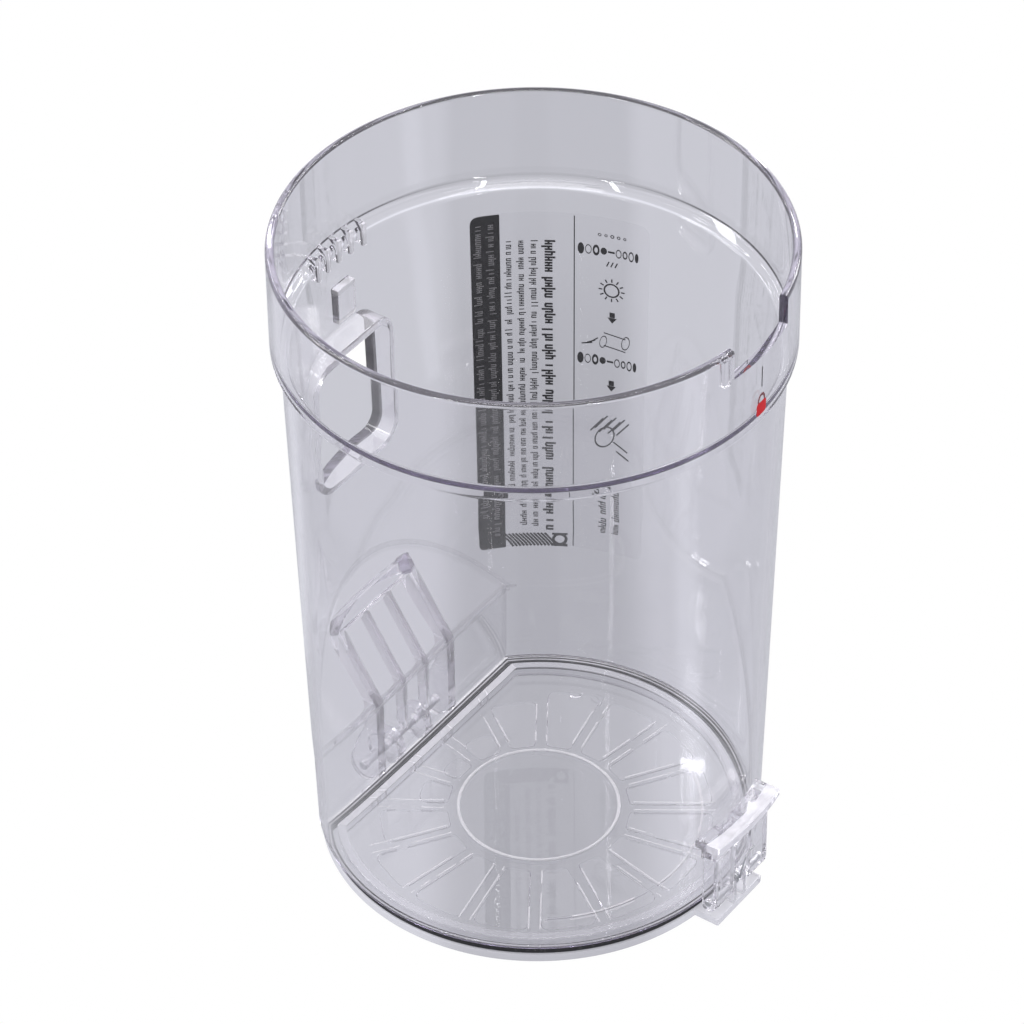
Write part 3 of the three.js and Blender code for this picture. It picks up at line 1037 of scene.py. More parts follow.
@dataclass
class Door:
    """The clear drop-down door with its plug wall, lugs, tab and latch ears."""

    finish: ClearPlastic
    cup: Cup
    radius: float = 50.9
    thickness: float = 2.2
    plug_radius: float = 47.6
    plug_wall: float = 2.0
    plug_top: float = 5.0
    disc_radius: float = 19.3
    ribs: int = 16
    rib_width: float = 2.6
    pocket_depth: float = 0.8
    lug: Point = (3.9, 7.0)
    latch_axis: Point = (-54.4, 7.4)
    ear: Point = (1.3, 2.5)
    rib_reach: float = 41.5
    ridge: Point = (38.1, 38.6)
    # How much rough white is painted on the door as highlights, place by place.
    highlight_ring: float = 0.8
    highlight_edges: float = 0.75
    highlight_plug: Point = (0.12, 0.4)
    highlight_rim: float = 0.3
    highlight_ridge: float = 0.6

    @property
    def edge_inset(self) -> float:
        """How much nearer the straight back edge lies than the round one."""
        return self.cup.body_bottom_radius - self.cup.chord

    def outline(self, radius: float, corner: float = 1.6) -> list[Point]:
        """The door's outline at a radius, with its straight back edge kept parallel."""
        return cut_round(radius, radius - self.edge_inset, corner)

    def _panel(self) -> Piece:
        """The flat panel with the raised disc in its middle."""
        panel = slab("door_panel", self.outline(self.radius), Plane.XY, 0, self.thickness)
        soften(panel, 0.35, 2, 50)
        rise = 0.45
        disc = [(0, 1), (self.disc_radius, 1), (self.disc_radius, self.thickness + 0.05)]
        disc += arc((self.disc_radius - rise, self.thickness), rise, 10, 170, 10)
        disc += [(self.disc_radius - 2 * rise, self.thickness + 0.05), (0, self.thickness + 0.05)]
        return combine(panel, turned("door_disc", disc, 128), Cut.ADD)

    def _plug(self) -> Piece:
        """The wall that plugs the cup's open end."""
        plug = slab("plug", self.outline(self.plug_radius, 1.4), Plane.XY, 1, self.plug_top)
        soften(plug, 0.4, 3, 50)
        inner = self.plug_radius - self.plug_wall
        return combine(plug, slab("plug_hollow", self.outline(inner, 1.0), Plane.XY, 0, 20),
                       Cut.REMOVE)

    def _pocket(self, index: int) -> Piece:
        """One of the shallow hollows between two radial ribs on the underside."""
        middle = math.radians(360 / self.ribs * index)
        half = math.radians(180 / self.ribs)
        near, far = self.disc_radius + 2.2, self.rib_reach
        back = self.plug_radius - self.edge_inset - 5.5
        if math.sin(middle) > 0.3:
            far = min(far, back / math.sin(middle) - 0.5)
        gap = self.rib_width / 2 / math.sin(half)
        corners = []
        for reach, side, turn in ((near, -1, 1.0), (far, -1, 3.2), (far, 1, 3.2), (near, 1, 1.0)):
            spread = half * side
            apex = Vector((gap * math.cos(middle), gap * math.sin(middle)))
            ray = Vector((math.cos(middle + spread), math.sin(middle + spread)))
            corners.append((*(apex + ray * (reach - gap)), turn))
        pocket = slab("pocket_cutter", rounded(corners, 5), Plane.XY, -1, self.pocket_depth)
        return soften(pocket, 0.14, 1, 50)

    def _lug(self) -> Piece:
        """The two lugs that turn on the hinge pin."""
        y, z = self.cup.hinge
        knuckle = self.cup.knuckle
        root = self.radius - self.edge_inset - 3
        outline = [(root, 0.2), (y - 1.5, 0.2), *arc((y, z), knuckle, -90, 180, 24),
                   (y - knuckle, self.thickness), (root, self.thickness)]
        return mirrored(soften(slab("door_lug", outline, Plane.YZ, *self.lug), 0.35))

    def _ear(self) -> Piece:
        """The two ears that carry the latch pin."""
        y, z = self.latch_axis
        outline = [(y + 2, 1), *arc((y, z), 2, 0, 180, 16), (y - 2, 1)]
        return mirrored(soften(slab("latch_ear", outline, Plane.YZ, *self.ear), 0.2))

    def _marks(self) -> Piece:
        """Small moulding marks on the door: the gate, a wedge and an arc."""
        gate = turned("gate_mark", [(0, 2), (1.7, 2), (1.7, 2.35), (1.3, 2.6), (0, 2.5)], 32)
        gate.location = (37, 15, 0)
        wedge = slab("wedge", [(36.6, 7.6), (39.4, 8.2), (39.6, 10.6), (37.2, 10.8)], Plane.XY, 2, 2.7)
        inner, outer = self.ridge
        ridge = arc((0, 0), outer, 218, 318, 60) + arc((0, 0), inner, 318, 218, 60)
        return gathered([gate, soften(wedge, 0.25), slab("arc_ridge", ridge, Plane.XY, 2, 2.45)])

    def _painted_highlights(self, graph: Graph) -> Value:
        """Where highlights are painted on the door in rough white: its ring, rib edges, rim, ridge and
        the plug wall's top.
        """
        spot = graph.spot()
        ring = abs(spot.away - self.disc_radius + 0.45) < 0.4
        turn = graph.maths("ARCTAN2", spot.y, spot.x) * (self.ribs / math.tau)
        aside = abs(graph.maths("FRACT", turn, 0.0) - 0.5) * (math.tau / self.ribs)
        edges = abs(aside * spot.away - self.rib_width / 2) < 0.16
        edges = edges * (spot.away > self.disc_radius + 3.0) * (spot.away < self.rib_reach)
        broken = graph.noise(120.0, 2.0) > 0.44
        inset = self.edge_inset
        across = graph.maths("MAXIMUM", spot.away, spot.y + inset)
        top = (spot.z > self.plug_top - 0.4) * (across < self.plug_radius + 0.1)
        low, more = self.highlight_plug
        top = top * (low + more * (spot.y + inset > spot.away))
        rim = (across > self.radius - 0.6) * (spot.z < self.thickness + 0.1)
        ridge = (abs(spot.away - sum(self.ridge) / 2) < 0.25) * (spot.y < -23.0)
        lines = ring * self.highlight_ring + edges * broken * self.highlight_edges
        return lines + top + rim * self.highlight_rim + ridge * broken * self.highlight_ridge

    def build(self) -> Piece:
        """Models the door.

        Returns:
            The finished piece.
        """
        door = self._panel()
        door.name = "clear_door"
        combine(door, self._plug(), Cut.ADD)
        pockets = gathered([self._pocket(i) for i in range(self.ribs)])
        combine(door, pockets, Cut.REMOVE)
        combine(door, self._lug(), Cut.ADD)
        tab = soften(block("tab", (-9, -56.4, 0), (9, -49, self.thickness)), 0.35)
        combine(door, tab, Cut.ADD)
        combine(door, self._ear(), Cut.ADD)
        combine(door, self._marks(), Cut.ADD)
        holes = [rod("hinge_hole", 1.3, Plane.YZ, self.cup.hinge, -20, 20),
                 rod("latch_hole", 1.0, Plane.YZ, self.latch_axis, -20, 20)]
        combine(door, gathered(holes), Cut.REMOVE)
        tidy_normals(door)
        finish_mesh(door)
        return hand_over(door, self.finish.material("clear_door_plastic", self._painted_highlights), "door_body",
                         ["door"])


@dataclass
class Seal:
    """The flat black rubber seal between the door and the cup's lower edge."""

    finish: SoftRubber
    door: Door
    inner: float = 48.7
    outer: float = 50.7

    def build(self) -> Piece:
        """Models the seal.

        Returns:
            The finished piece.
        """
        low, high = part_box("door_seal")[0].z / MM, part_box("door_seal")[1].z / MM
        seal = slab("door_gasket", self.door.outline(self.outer), Plane.XY, low, high)
        soften(seal, 0.2, 3, 50)
        hole = slab("seal_hole", self.door.outline(self.inner, 1.5), Plane.XY, 0, 20)
        combine(seal, hole, Cut.REMOVE)
        tidy_normals(seal)
        finish_mesh(seal)
        return hand_over(seal, self.finish.material("seal_rubber"), "door_body",
                         ["door_seal"])


# ---------------------------------------------------------------- the latch


@dataclass
class Latch:
    """The clear snap latch: two ribbed columns, the bar over the catch and a thumb lip."""

    finish: ClearPlastic
    door: Door
    front: float = -56.6
    back: float = -52.9
    half_width: float = 10.5
    window: float = 2.8
    bar_low: float = 20.6
    lip_radius: float = 59.8
    # How much rough white is painted on the latch as highlights, on its front and everywhere.
    highlight_front: float = 0.25
    highlight_all: float = 0.03

    def _column(self) -> Piece:
        """Both columns, each a front plate between two ribs that are round at the foot."""
        y, z = self.door.latch_axis
        foot = 2.1
        outline = [(self.back, 26), (self.front, 26), (self.front, z)]
        outline += arc((y, z), foot, 180, 315, 12)
        outline += [(self.back, z)]
        rib = 1.4
        low, high = self.window, self.half_width
        column = soften(slab("column", outline, Plane.YZ, low, low + rib), 0.3)
        outer = soften(slab("outer_rib", outline, Plane.YZ, high - rib, high), 0.3)
        plate = soften(block("front_plate", (low, self.front, z - 1), (high, self.front + 1, 26)), 0.25)
        return mirrored(combine(combine(column, plate, Cut.ADD), outer, Cut.ADD))

    def _top(self) -> Piece:
        """The bar over the catch with the thumb lip, bent to the cup's curve."""
        low = self.bar_low
        lip = 61.5
        outline = [(-50, low), (self.front, low), (self.front - 0.2, 23.4), (-58.2, 25.8),
                   (-lip, 27.0), (-lip, 29), (-58.6, 27.75), (-56, 27.6), (-50, 27.6)]
        bar = slab("latch_bar", outline, Plane.YZ, -12.4, 12.4)
        side = self.half_width
        for left, right in ((side, 20), (-20, -side)):
            combine(bar, block("side_cut", (left, -70, 0), (right, -40, 25.4)), Cut.REMOVE)
        ring = [(53.5, 0), (self.lip_radius, 0), (self.lip_radius, 40), (53.5, 40), (53.5, 0)]
        combine(bar, turned("curve_limit", ring), Cut.KEEP)
        return soften(bar, 0.4, 3, 40)

    def _painted_highlights(self, graph: Graph) -> Value:
        """Where highlights are painted on the latch in rough white: most on the front of the bar and
        under the lip, a little everywhere.
        """
        spot = graph.spot()
        front = (spot.away > 56.4) * (spot.z > self.bar_low + 1.5) * (spot.z < 28.2)
        return front * (self.highlight_front + 0.5 * graph.noise(260.0, 3.0)) + self.highlight_all

    def build(self) -> Piece:
        """Models the latch.

        Returns:
            The finished piece.
        """
        latch = self._top()
        latch.name = "snap_latch"
        combine(latch, self._column(), Cut.ADD)
        combine(latch, rod("latch_bore", 1.0, Plane.YZ, self.door.latch_axis, -20, 20), Cut.REMOVE)
        tidy_normals(latch)
        finish_mesh(latch)
        return hand_over(latch, self.finish.material("clear_latch_plastic", self._painted_highlights), "latch_body",
                         ["latch"])


# ---------------------------------------------------------------- metal pieces


@dataclass
class Hardware:
    """The hinge pin, the latch pin and the latch's spring."""

    finish: BrightSteel
    door: Door
    hinge_pin_radius: float = 1.1
    latch_pin_radius: float = 0.8

    def _pin(self, name: str, node: str, at: Point, radius: float, body: str) -> Piece:
        """One steel pin with rounded ends.

        Args:
            name: The piece's name.
            node: The CAD node it stands for.
            at: Its axis in Y and Z.
            radius: Its radius.
            body: The body it rides on.

        Returns:
            The finished pin.
        """
        low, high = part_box(node)[0].x / MM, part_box(node)[1].x / MM
        pin = soften(rod(name, radius, Plane.YZ, at, low, high), 0.25, 3, 50)
        finish_mesh(pin)
        return hand_over(pin, self.finish.material(name + "_steel"), body, [node])

    def build(self) -> None:
        """Models the pins and dresses the spring."""
        self._pin("steel_hinge_pin", "hinge_pin", self.door.cup.hinge, self.hinge_pin_radius,
                  "cup_body")
        self._pin("steel_latch_pin", "latch_pin", self.door.latch_axis, self.latch_pin_radius,
                  "door_body")
        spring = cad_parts["latch_spring"]
        spring.data.materials.clear()
        spring.data.materials.append(self.finish.material("spring_wire"))


# ---------------------------------------------------------------- print


@dataclass
class Press:
    """Gathers small flat marks and wraps them on the cup as one thin layer of ink.

    Marks are laid out flat: across is millimetres round the cup from +X, up is the height.
    """

    wrap_radius: float = 54.0
    marks: list[Piece] = field(default_factory=list)
    patterns: dict[str, Piece] = field(default_factory=dict)

    def _pattern(self, kind: str) -> Piece:
        """The unit shape that marks of this kind are copies of."""
        if kind not in self.patterns:
            bpy.ops.object.select_all(action="DESELECT")
            if kind == "square":
                bpy.ops.mesh.primitive_plane_add(size=1.0)
            elif kind == "triangle":
                bpy.ops.mesh.primitive_circle_add(vertices=3, radius=0.5, fill_type="NGON")
            elif kind == "disc":
                bpy.ops.mesh.primitive_circle_add(vertices=24, radius=0.5, fill_type="NGON")
            else:
                self._ring_pattern(float(kind))
            self.patterns[kind] = bpy.context.active_object
        return self.patterns[kind]

    @staticmethod
    def _ring_pattern(hole: float) -> None:
        """Draws a unit ring whose hole is this share of its width."""
        bpy.ops.mesh.primitive_circle_add(vertices=28, radius=0.5, fill_type="NOTHING")
        with editing(bpy.context.active_object):
            bpy.ops.mesh.select_all(action="SELECT")
            bpy.ops.mesh.extrude_region_move()
            bpy.ops.transform.resize(value=(hole, hole, 1), center_override=(0, 0, 0))

    def mark(self, kind: str, across: float, up: float, size: Point, turn: float = 0.0) -> None:
        """Lays down one mark.

        Args:
            kind: square, triangle, disc, or a ring's hole as a share of its width.
            across: Its centre round the cup.
            up: Its centre's height.
            size: Its width and height.
            turn: How far it is turned in degrees.
        """
        pattern = self._pattern(kind)
        mark = pattern.copy()
        mark.data = pattern.data.copy()
        mark.location = (across, up, 0)
        mark.scale = (*size, 1)
        mark.rotation_euler = (0, 0, math.radians(turn))
        bpy.context.scene.collection.objects.link(mark)
        self.marks.append(mark)

    def patch(self, outline: Sequence[Point], strips: int) -> None:
        """Lays down a wide outline, cut in strips so that it can bend round the cup."""
        piece = trace("patch", [Vector((a, b, 0)) for a, b in outline], filled=True)
        left, right = min(a for a, _ in outline), max(a for a, _ in outline)
        with editing(piece):
            for i in range(1, strips):
                bpy.ops.mesh.select_all(action="SELECT")
                place = (left + (right - left) * i / strips, 0, 0)
                bpy.ops.mesh.bisect(plane_co=place, plane_no=(1, 0, 0))
        if piece.data.polygons[0].normal.z < 0:
            with editing(piece):
                bpy.ops.mesh.select_all(action="SELECT")
                bpy.ops.mesh.flip_normals()
        self.marks.append(piece)

    def words(self, across: float, top: float, bottom: float, height: float,
              weight: float, seed: int) -> None:
        """A column of generic marks that stands in for a line of small print.

        Args:
            across: The column's base line round the cup.
            top: Where it starts.
            bottom: Where it ends.
            height: How tall its tallest marks are.
            weight: How thick its strokes are.
            seed: Sets which marks it has.
        """
        draw = random.Random(seed)
        up = top
        step = height * 0.56
        while up > bottom:
            for _ in range(draw.randint(2, 9)):
                tall = height * draw.choice((0.66, 0.66, 0.66, 0.66, 0.95, 1.0))
                low = across - (height * 0.25 if draw.random() < 0.12 else 0)
                middle = (low + across + tall) / 2
                self.mark("square", middle, up, (across + tall - low, weight))
                if draw.random() < 0.75:
                    other = up - step * 0.52
                    self.mark("square", across + height * 0.33, other, (height * 0.66, weight))
                    end = across + height * draw.choice((0.04, 0.33, 0.62))
                    self.mark("square", end, (up + other) / 2, (weight, step * 0.5))
                up -= step
                if up < bottom:
                    break
            up -= step * 0.8

    def wrapped(self, name: str, radius_at: Callable[[float], float], lift: float,
                thickness: float) -> Piece:
        """Bends everything laid down round the cup and gives it its thickness.

        Args:
            name: The new piece's name.
            radius_at: The surface's radius at a height.
            lift: How far above the surface it lies.
            thickness: How thick it is.

        Returns:
            The new piece, in metres.
        """
        piece = gathered(self.marks)
        piece.name = name
        select_only(piece)
        bpy.ops.object.transform_apply(location=True, rotation=True, scale=True)
        for vertex in piece.data.vertices:
            across, up, _ = vertex.co
            radius, angle = radius_at(up) + lift, across / self.wrap_radius
            vertex.co = (radius * math.cos(angle), radius * math.sin(angle), up)
        solid = piece.modifiers.new("thickness", "SOLIDIFY")
        solid.thickness, solid.offset = thickness, 1.0
        apply_last(piece)
        for pattern in self.patterns.values():
            bpy.data.objects.remove(pattern)
        return finish_mesh(piece)


@dataclass
class Label:
    """The printed film on the right of the cup: a black band, columns and pictograms."""

    cup: Cup
    film: ThinFilm
    dark: PrintInk
    pale: PrintInk
    edges: Point = (6.5, 51.0)
    band: float = 43.6
    rule: float = 25.6
    low: float = 38.0
    high: float = 133.4
    lift: float = 0.12
    film_thickness: float = 0.08
    bite: float = 0.03
    ink_thickness: float = 0.07

    @staticmethod
    def across(degrees: float) -> float:
        """The flat distance round the cup to an angle from +X."""
        return math.radians(degrees) * Press().wrap_radius

    def _film(self) -> None:
        """Models the clear film itself."""
        press = Press()
        left, right = self.across(self.edges[0]), self.across(self.edges[1])
        press.patch(rounded([(left, self.low, 3), (right, self.low, 2), (right, self.high, 2.5),
                             (left, self.high, 3)], 5), 36)
        film = press.wrapped("label_sheet", self.cup.body_radius, self.lift, self.film_thickness)
        hand_over(film, self.film.material("label_sheet_film"), "cup_body",
                  ["label_film"])

    def _band(self, press: Press) -> None:
        """The black band at the back edge, the hatching and the warning square beside it."""
        left, right = self.across(self.band), self.across(self.edges[1]) - 0.15
        press.patch(rounded([(left, self.low, 0.3), (right, self.low, 1.5),
                             (right, self.high - 0.2, 2.2), (left, self.high - 0.2, 0.3)], 5), 6)
        start, stripe = self.across(31.2), 0.55
        count = 13
        for i in range(count):
            place = start + (left - start) * (i + 0.5) / count
            press.mark("square", place, self.low + 2.4, (stripe, 5.6), -32)
        box = self.across(29.2)
        press.mark("0.62", box, self.low + 2.4, (4.0, 4.6))
        press.mark("square", box, self.low + 0.4, (3.9, 0.8))
        press.mark("square", box, self.low + 4.4, (3.9, 0.8))

    def _parts_row(self, press: Press, up: float) -> None:
        """A row of small pieces drawn as if taken apart."""
        place = self.across(9.4)
        row = (("disc", 0.9, 2.6), ("0.7", 1.3, 2.8), ("0.6", 1.2, 2.2), ("0.75", 1.4, 2.4),
               ("square", 1.6, 0.5), ("disc", 1.5, 1.9), ("0.5", 1.6, 3.0), ("0.8", 1.5, 2.6),
               ("disc", 1.5, 3.1))
        for kind, width, height in row:
            press.mark(kind, place + width / 2, up, (width, height))
            place += width + 0.25

    def _pictograms(self, press: Press) -> None:
        """The column of pictograms: parts, a sun, arrows, a cup under water and a brush."""
        middle = self.across(16.2)
        for i in range(5):
            press.mark("0.55", middle - 3 + i * 1.5, 128.6, (0.75 + 0.1 * (i % 3),) * 2)
        self._parts_row(press, 124.2)
        for i in range(3):
            press.mark("square", middle - 1 + i, 120.8, (0.3, 1.5), 22)
        press.mark("0.8", middle, 113.6, (3.9, 3.9))
        for i in range(12):
            angle = math.tau * i / 12
            press.mark("square", middle + 2.7 * math.cos(angle), 113.6 + 2.7 * math.sin(angle),
                       (0.9, 0.32), math.degrees(angle))
        for up in (106.2, 86.8):
            press.mark("triangle", middle - 0.2, up - 0.8, (2.6, 2.0), 180)
            press.mark("square", middle - 0.2, up + 0.5, (1.3, 1.4))
        self._cup_picture(press, middle)
        self._parts_row(press, 93.4)
        for i in range(7):
            press.mark("square", middle - 3.6 + i * 1.1, 75.2 + (i % 2) * 0.9, (0.35, 5.2), 38)
        press.mark("0.86", middle + 1.0, 72.0, (4.4, 7.0), 30)
        press.mark("square", middle - 3.0, 70.0, (4.4, 0.4), 30)
        press.mark("square", middle - 3.6, 67.6, (3.8, 0.4), 30)

    @staticmethod
    def _cup_picture(press: Press, middle: float) -> None:
        """An open cup lying under a spray."""
        press.mark("0.85", middle - 3.6, 99.6, (2.0, 4.0), 12)
        for up in (-1.8, 1.8):
            press.mark("square", middle - 0.9, 99.2 + up, (5.4, 0.26), 8)
        press.mark("0.85", middle + 1.9, 98.8, (1.7, 3.6), 12)
        for i in range(3):
            press.mark("square", middle + 4.2 + 0.8 * i, 98.8 - 0.5 * i, (0.3, 2.6), 50 + 14 * i)

    def _columns(self, press: Press) -> None:
        """The columns of small print beside the band, and the rule next to them."""
        press.mark("square", self.across(self.rule), (self.low + self.high) / 2,
                   (0.24, self.high - self.low - 1))
        rows = ((40.9, 52.0, 1.75, 0.24), (37.9, 45.5, 1.75, 0.24), (34.9, 45.0, 1.75, 0.24),
                (30.9, 44.0, 2.7, 0.5))
        for i, (degrees, bottom, height, weight) in enumerate(rows):
            press.words(self.across(degrees), 125.5, bottom, height, weight, 20 + i)
        for i, degrees in enumerate((13.2, 16.8)):
            press.words(self.across(degrees), 58.5, 43.5, 2.0, 0.28, 40 + i)

    def build(self) -> None:
        """Models the film, its dark print and the pale print on the band."""
        self._film()
        dark = Press()
        self._band(dark)
        self._pictograms(dark)
        self._columns(dark)
        ink = dark.wrapped("label_dark_print", self.cup.body_radius, -self.bite,
                           self.ink_thickness)
        hand_over(ink, self.dark.material("dark_print"), "cup_body")
        pale = Press()
        for i, degrees in enumerate((45.1, 48.2)):
            pale.words(self.across(degrees), 130.5, 42.0 + 6 * i, 1.9, 0.26, 60 + i)
        ink = pale.wrapped("label_pale_print", self.cup.body_radius, -2 * self.bite,
                           self.ink_thickness + 2 * self.bite)
        hand_over(ink, self.pale.material("pale_print"), "cup_body")


@dataclass
class CollarMarks:
    """The printed guides under the rim notch: a red padlock and a thin index line."""

    cup: Cup
    red: PrintInk
    dark: PrintInk
    degrees: float = -88.0

    def build(self) -> None:
        """Prints both marks on the collar."""
        press = Press(wrap_radius=self.cup.collar_radius)
        place = math.radians(self.degrees) * press.wrap_radius
        press.patch(rounded([(place - 1.9, 143.2, 0.8), (place + 1.9, 143.2, 0.8),
                             (place + 1.9, 146.6, 0.8), (place - 1.9, 146.6, 0.8)], 4), 4)
        press.mark("0.62", place, 146.9, (3.0, 3.8))
        lock = press.wrapped("lock_mark", lambda up: self.cup.collar_radius, -0.04, 0.06)
        hand_over(lock, self.red.material("red_print"), "cup_body")
        line = Press(wrap_radius=self.cup.collar_radius)
        line.mark("square", place, 153.2, (0.3, 5.4))
        index = line.wrapped("index_line", lambda up: self.cup.collar_radius, -0.04, 0.06)
        hand_over(index, self.dark.material("index_print"), "cup_body")


# ---------------------------------------------------------------- studio


@dataclass
class Studio:
    """A floor that the camera looks through, soft lights and the camera.

    The floor glows with painted light. Its strengths are: plain, what is added off the dark strip
    of painted shade, in the side pools of painted light and far away. Each softbox has a name,
    azimuth, elevation, distance, size and power.
    """

    azimuth: float = -54.5
    elevation: float = 39.94
    roll: float = -0.777
    distance: float = 1.15
    lens: float = 180.3
    target: Vector = field(default_factory=lambda: Vector((0, 0, 0.083)))
    aim_left: float = 0.00536
    aim_up: float = 0.00575
    floor_glow: tuple[Colour, Colour] = ((0.59, 0.595, 0.645), (0.63, 0.635, 0.685))
    strengths: tuple[float, float, float, float] = (0.72, 0.26, 0.8, 0.5)
    soft_light_pool: Colour = (0.25, 0.25, 0.25)
    light_pool_start: float = 0.085
    shade_strip_middle: float = 0.002
    shade_strip_edge: Point = (0.018, 0.031)
    horizon: Colour = (0.74, 0.72, 0.8)
    overhead: Colour = (0.95, 0.95, 0.98)
    overhead_rise: float = 0.75
    softboxes: Sequence[tuple[str, float, float, float, Point, float]] = (
        ("left_softbox", -150, 32, 1.3, (0.22, 1.1), 6),
        ("right_softbox", 78, 30, 1.4, (0.2, 1.0), 6),
        ("top_softbox", 0, 88, 1.4, (0.6, 0.6), 4.5),
        ("small_lamp", 118.3, 39.2, 1.26, (0.032, 0.006), 0.06),
    )
    strip_azimuths: Sequence[float] = (-172, -95, -30, 100, 160)

    def camera(self) -> None:
        """Places the camera."""
        a, e = math.radians(self.azimuth), math.radians(self.elevation)
        back = Vector((math.sin(a) * math.cos(e), -math.cos(a) * math.cos(e), math.sin(e)))
        place = self.target + back * self.distance
        turn = (-back).to_track_quat("-Z", "Y")
        right, up = turn @ Vector((1, 0, 0)), turn @ Vector((0, 1, 0))
        aim = self.target - right * self.aim_left + up * self.aim_up
        look = (aim - place).to_track_quat("-Z", "Y")
        camera = bpy.data.objects.new("camera", bpy.data.cameras.new("camera"))
        bpy.context.scene.collection.objects.link(camera)
        camera.location = place
        camera.rotation_mode = "QUATERNION"
        camera.rotation_quaternion = look @ Quaternion((0, 0, 1), math.radians(self.roll))
        camera.data.lens = self.lens
        camera.data.clip_start = 0.05
        camera.data.clip_end = 50
        bpy.context.scene.camera = camera

    def floor(self) -> None:
        """Lays the floor, clear to the camera and a grey glow with painted light to every other ray.

        A strip of painted shade lies along the main view's direction, with painted pools of light at
        its sides.
        """
        bpy.ops.object.select_all(action="DESELECT")
        bpy.ops.mesh.primitive_plane_add(size=8.0, location=(0, 0, 0))
        floor = bpy.context.active_object
        floor.name = "floor"
        graph = Graph("floor_painted_light")
        place = graph.value(graph.node("ShaderNodeTexCoord"), "Object")
        turn = graph.value(graph.node("ShaderNodeTexGradient", {"gradient_type": "RADIAL"},
                                      {"Vector": place}), "Fac")
        away = graph.value(graph.node("ShaderNodeVectorMath", {"operation": "LENGTH"},
                                      {0: place}), "Value")
        # Painted pools of light round the canister, set by a ramp over the angle round it.
        dark, lit, soft = (0.0, 0.0, 0.0), (1.0, 1.0, 1.0), self.soft_light_pool
        stops = [(0.0, dark), (0.255, dark), (0.27, lit), (0.285, lit), (0.30, dark),
                 (0.70, dark), (0.72, soft), (0.74, soft), (0.77, dark)]
        light_pools = graph.value(graph.node("ShaderNodeValToRGB", {"stops": stops}, {"Fac": turn}))
        light_pools = light_pools * (away > self.light_pool_start)
        # A strip of painted shade along the main view's direction. The floor is lighter behind and far
        # away.
        a = math.radians(self.azimuth)
        aside = graph.value(graph.node("ShaderNodeVectorMath", {"operation": "DOT_PRODUCT"},
                                       {0: place, 1: (math.cos(a), math.sin(a), 0)}), "Value")
        sides = graph.step(abs(aside - self.shade_strip_middle), *self.shade_strip_edge)
        behind = graph.step(away, 0.14, 0.26) * 0.55
        open_floor = graph.maths("MAXIMUM", sides, behind)
        far = graph.step(away, 0.35, 0.9)
        seen = graph.node("ShaderNodeBsdfTransparent")
        plain, off_shade_strip, pooled_light, distant = self.strengths
        floor_glow = graph.node("ShaderNodeEmission", None, {
            "Color": graph.tint(graph.noise(6.0), *self.floor_glow),
            "Strength": plain + off_shade_strip * open_floor + pooled_light * light_pools + distant * far,
        })
        path = graph.node("ShaderNodeLightPath")
        both = graph.node("ShaderNodeMixShader", None, {
            0: graph.value(path, "Is Camera Ray"),
            1: graph.value(floor_glow),
            2: graph.value(seen),
        })
        floor.data.materials.append(graph.surface(graph.value(both)))

    def world(self) -> None:
        """Sets the surroundings, white to the camera and to all else darker near the horizon."""
        world = bpy.data.worlds.new("studio_world")
        bpy.context.scene.world = world
        graph = Graph("studio_world", world)
        place = graph.value(graph.node("ShaderNodeTexCoord"), "Generated")
        rise = graph.value(graph.node("ShaderNodeSeparateXYZ", None, {0: place}), "Z")
        stops = [(0.0, self.horizon), (self.overhead_rise, self.overhead)]
        ramp = graph.value(graph.node("ShaderNodeValToRGB", {"stops": stops}, {"Fac": rise}))
        around = graph.node("ShaderNodeBackground", None, {"Color": ramp})
        white = graph.node("ShaderNodeBackground", None, {"Color": (1, 1, 1, 1)})
        path = graph.node("ShaderNodeLightPath")
        both = graph.node("ShaderNodeMixShader", None, {
            0: graph.value(path, "Is Camera Ray"),
            1: graph.value(around),
            2: graph.value(white),
        })
        graph.node("ShaderNodeOutputWorld", None, {"Surface": graph.value(both)})

    def softbox(self, name: str, azimuth: float, elevation: float, distance: float,
                size: Point, power: float) -> None:
        """Hangs a softbox that faces the canister.

        Args:
            name: The light's name.
            azimuth: Where it stands round the canister in degrees, 0 in front.
            elevation: How high it hangs in degrees.
            distance: How far away it is in metres.
            size: Its width and height in metres.
            power: Its power in watts.
        """
        a, e = math.radians(azimuth), math.radians(elevation)
        back = Vector((math.sin(a) * math.cos(e), -math.cos(a) * math.cos(e), math.sin(e)))
        data = bpy.data.lights.new(name, "AREA")
        data.shape = "RECTANGLE"
        data.size, data.size_y = size
        data.energy = power
        light = bpy.data.objects.new(name, data)
        bpy.context.scene.collection.objects.link(light)
        light.location = self.target + back * distance
        light.rotation_mode = "QUATERNION"
        light.rotation_quaternion = (-back).to_track_quat("-Z", "Y")

    def build(self) -> None:
        """Sets up the whole studio."""
        self.camera()
        self.floor()
        self.world()
        for row in self.softboxes:
            self.softbox(*row)
        for i, azimuth in enumerate(self.strip_azimuths):
            self.softbox(f"strip_{i}", azimuth, 52 - 9 * (i % 3), 1.5, (0.05, 0.8), 2.6)
        scene = bpy.context.scene
        scene.view_settings.view_transform = "Standard"
        scene.cycles.max_bounces = 28
        scene.cycles.transmission_bounces = 26
        scene.cycles.transparent_max_bounces = 24
        scene.cycles.glossy_bounces = 26
        scene.cycles.caustics_reflective = False
        scene.cycles.caustics_refractive = False


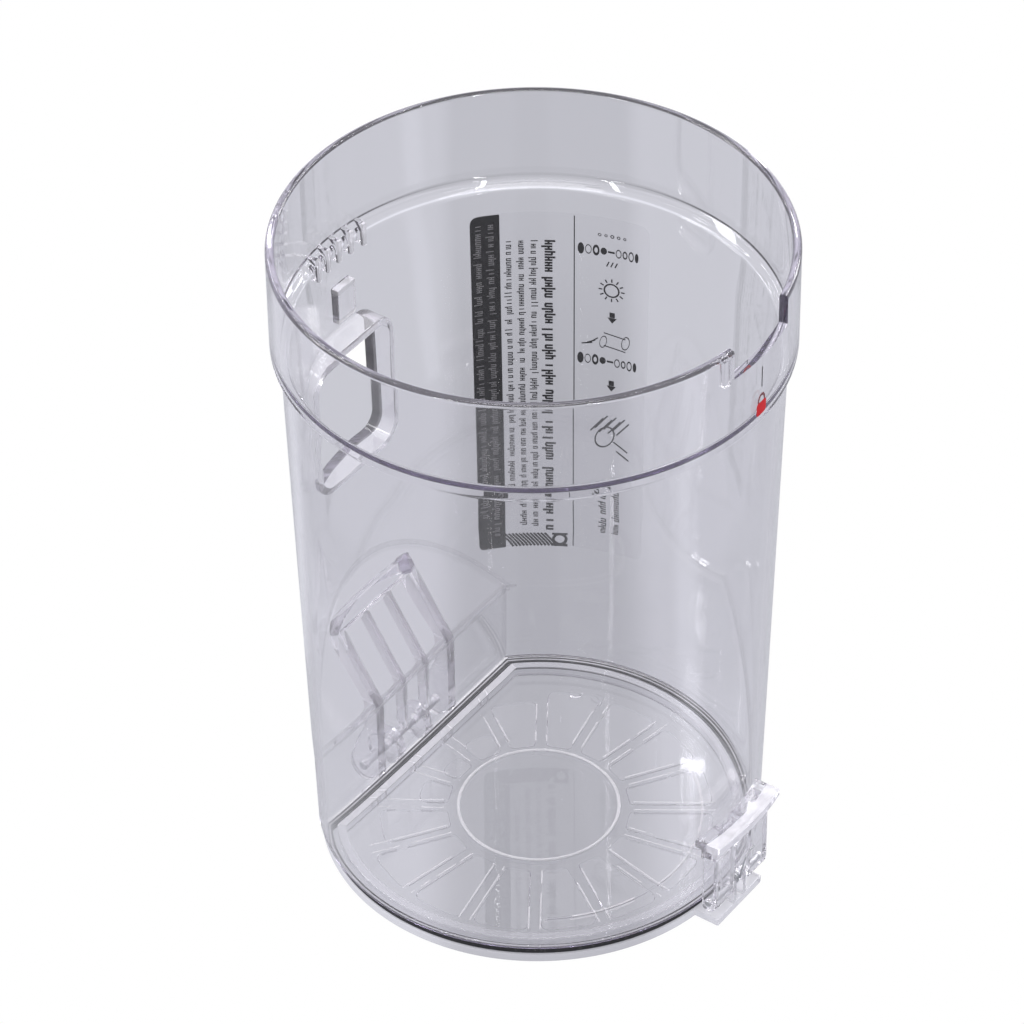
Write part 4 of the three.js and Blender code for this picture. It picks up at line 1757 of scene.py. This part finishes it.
def main() -> None:
    """Builds the canister and its studio in order."""
    logging.basicConfig(level=logging.INFO, format="%(name)s: %(message)s")
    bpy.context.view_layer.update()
    Studio().build()
    plastic = ClearPlastic()
    cup = Cup(plastic)
    door = Door(plastic, cup)
    cup.build()
    door.build()
    Seal(SoftRubber(), door).build()
    Latch(plastic, door).build()
    Hardware(BrightSteel(), door).build()
    dark = PrintInk((0.006, 0.006, 0.007), (0.014, 0.013, 0.015))
    pale = PrintInk((0.72, 0.71, 0.73), (0.6, 0.59, 0.62))
    red = PrintInk((0.62, 0.02, 0.025), (0.5, 0.015, 0.02))
    Label(cup, ThinFilm(), dark, pale).build()
    CollarMarks(cup, red, dark).build()
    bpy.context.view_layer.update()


if __name__ == "__main__":
    main()
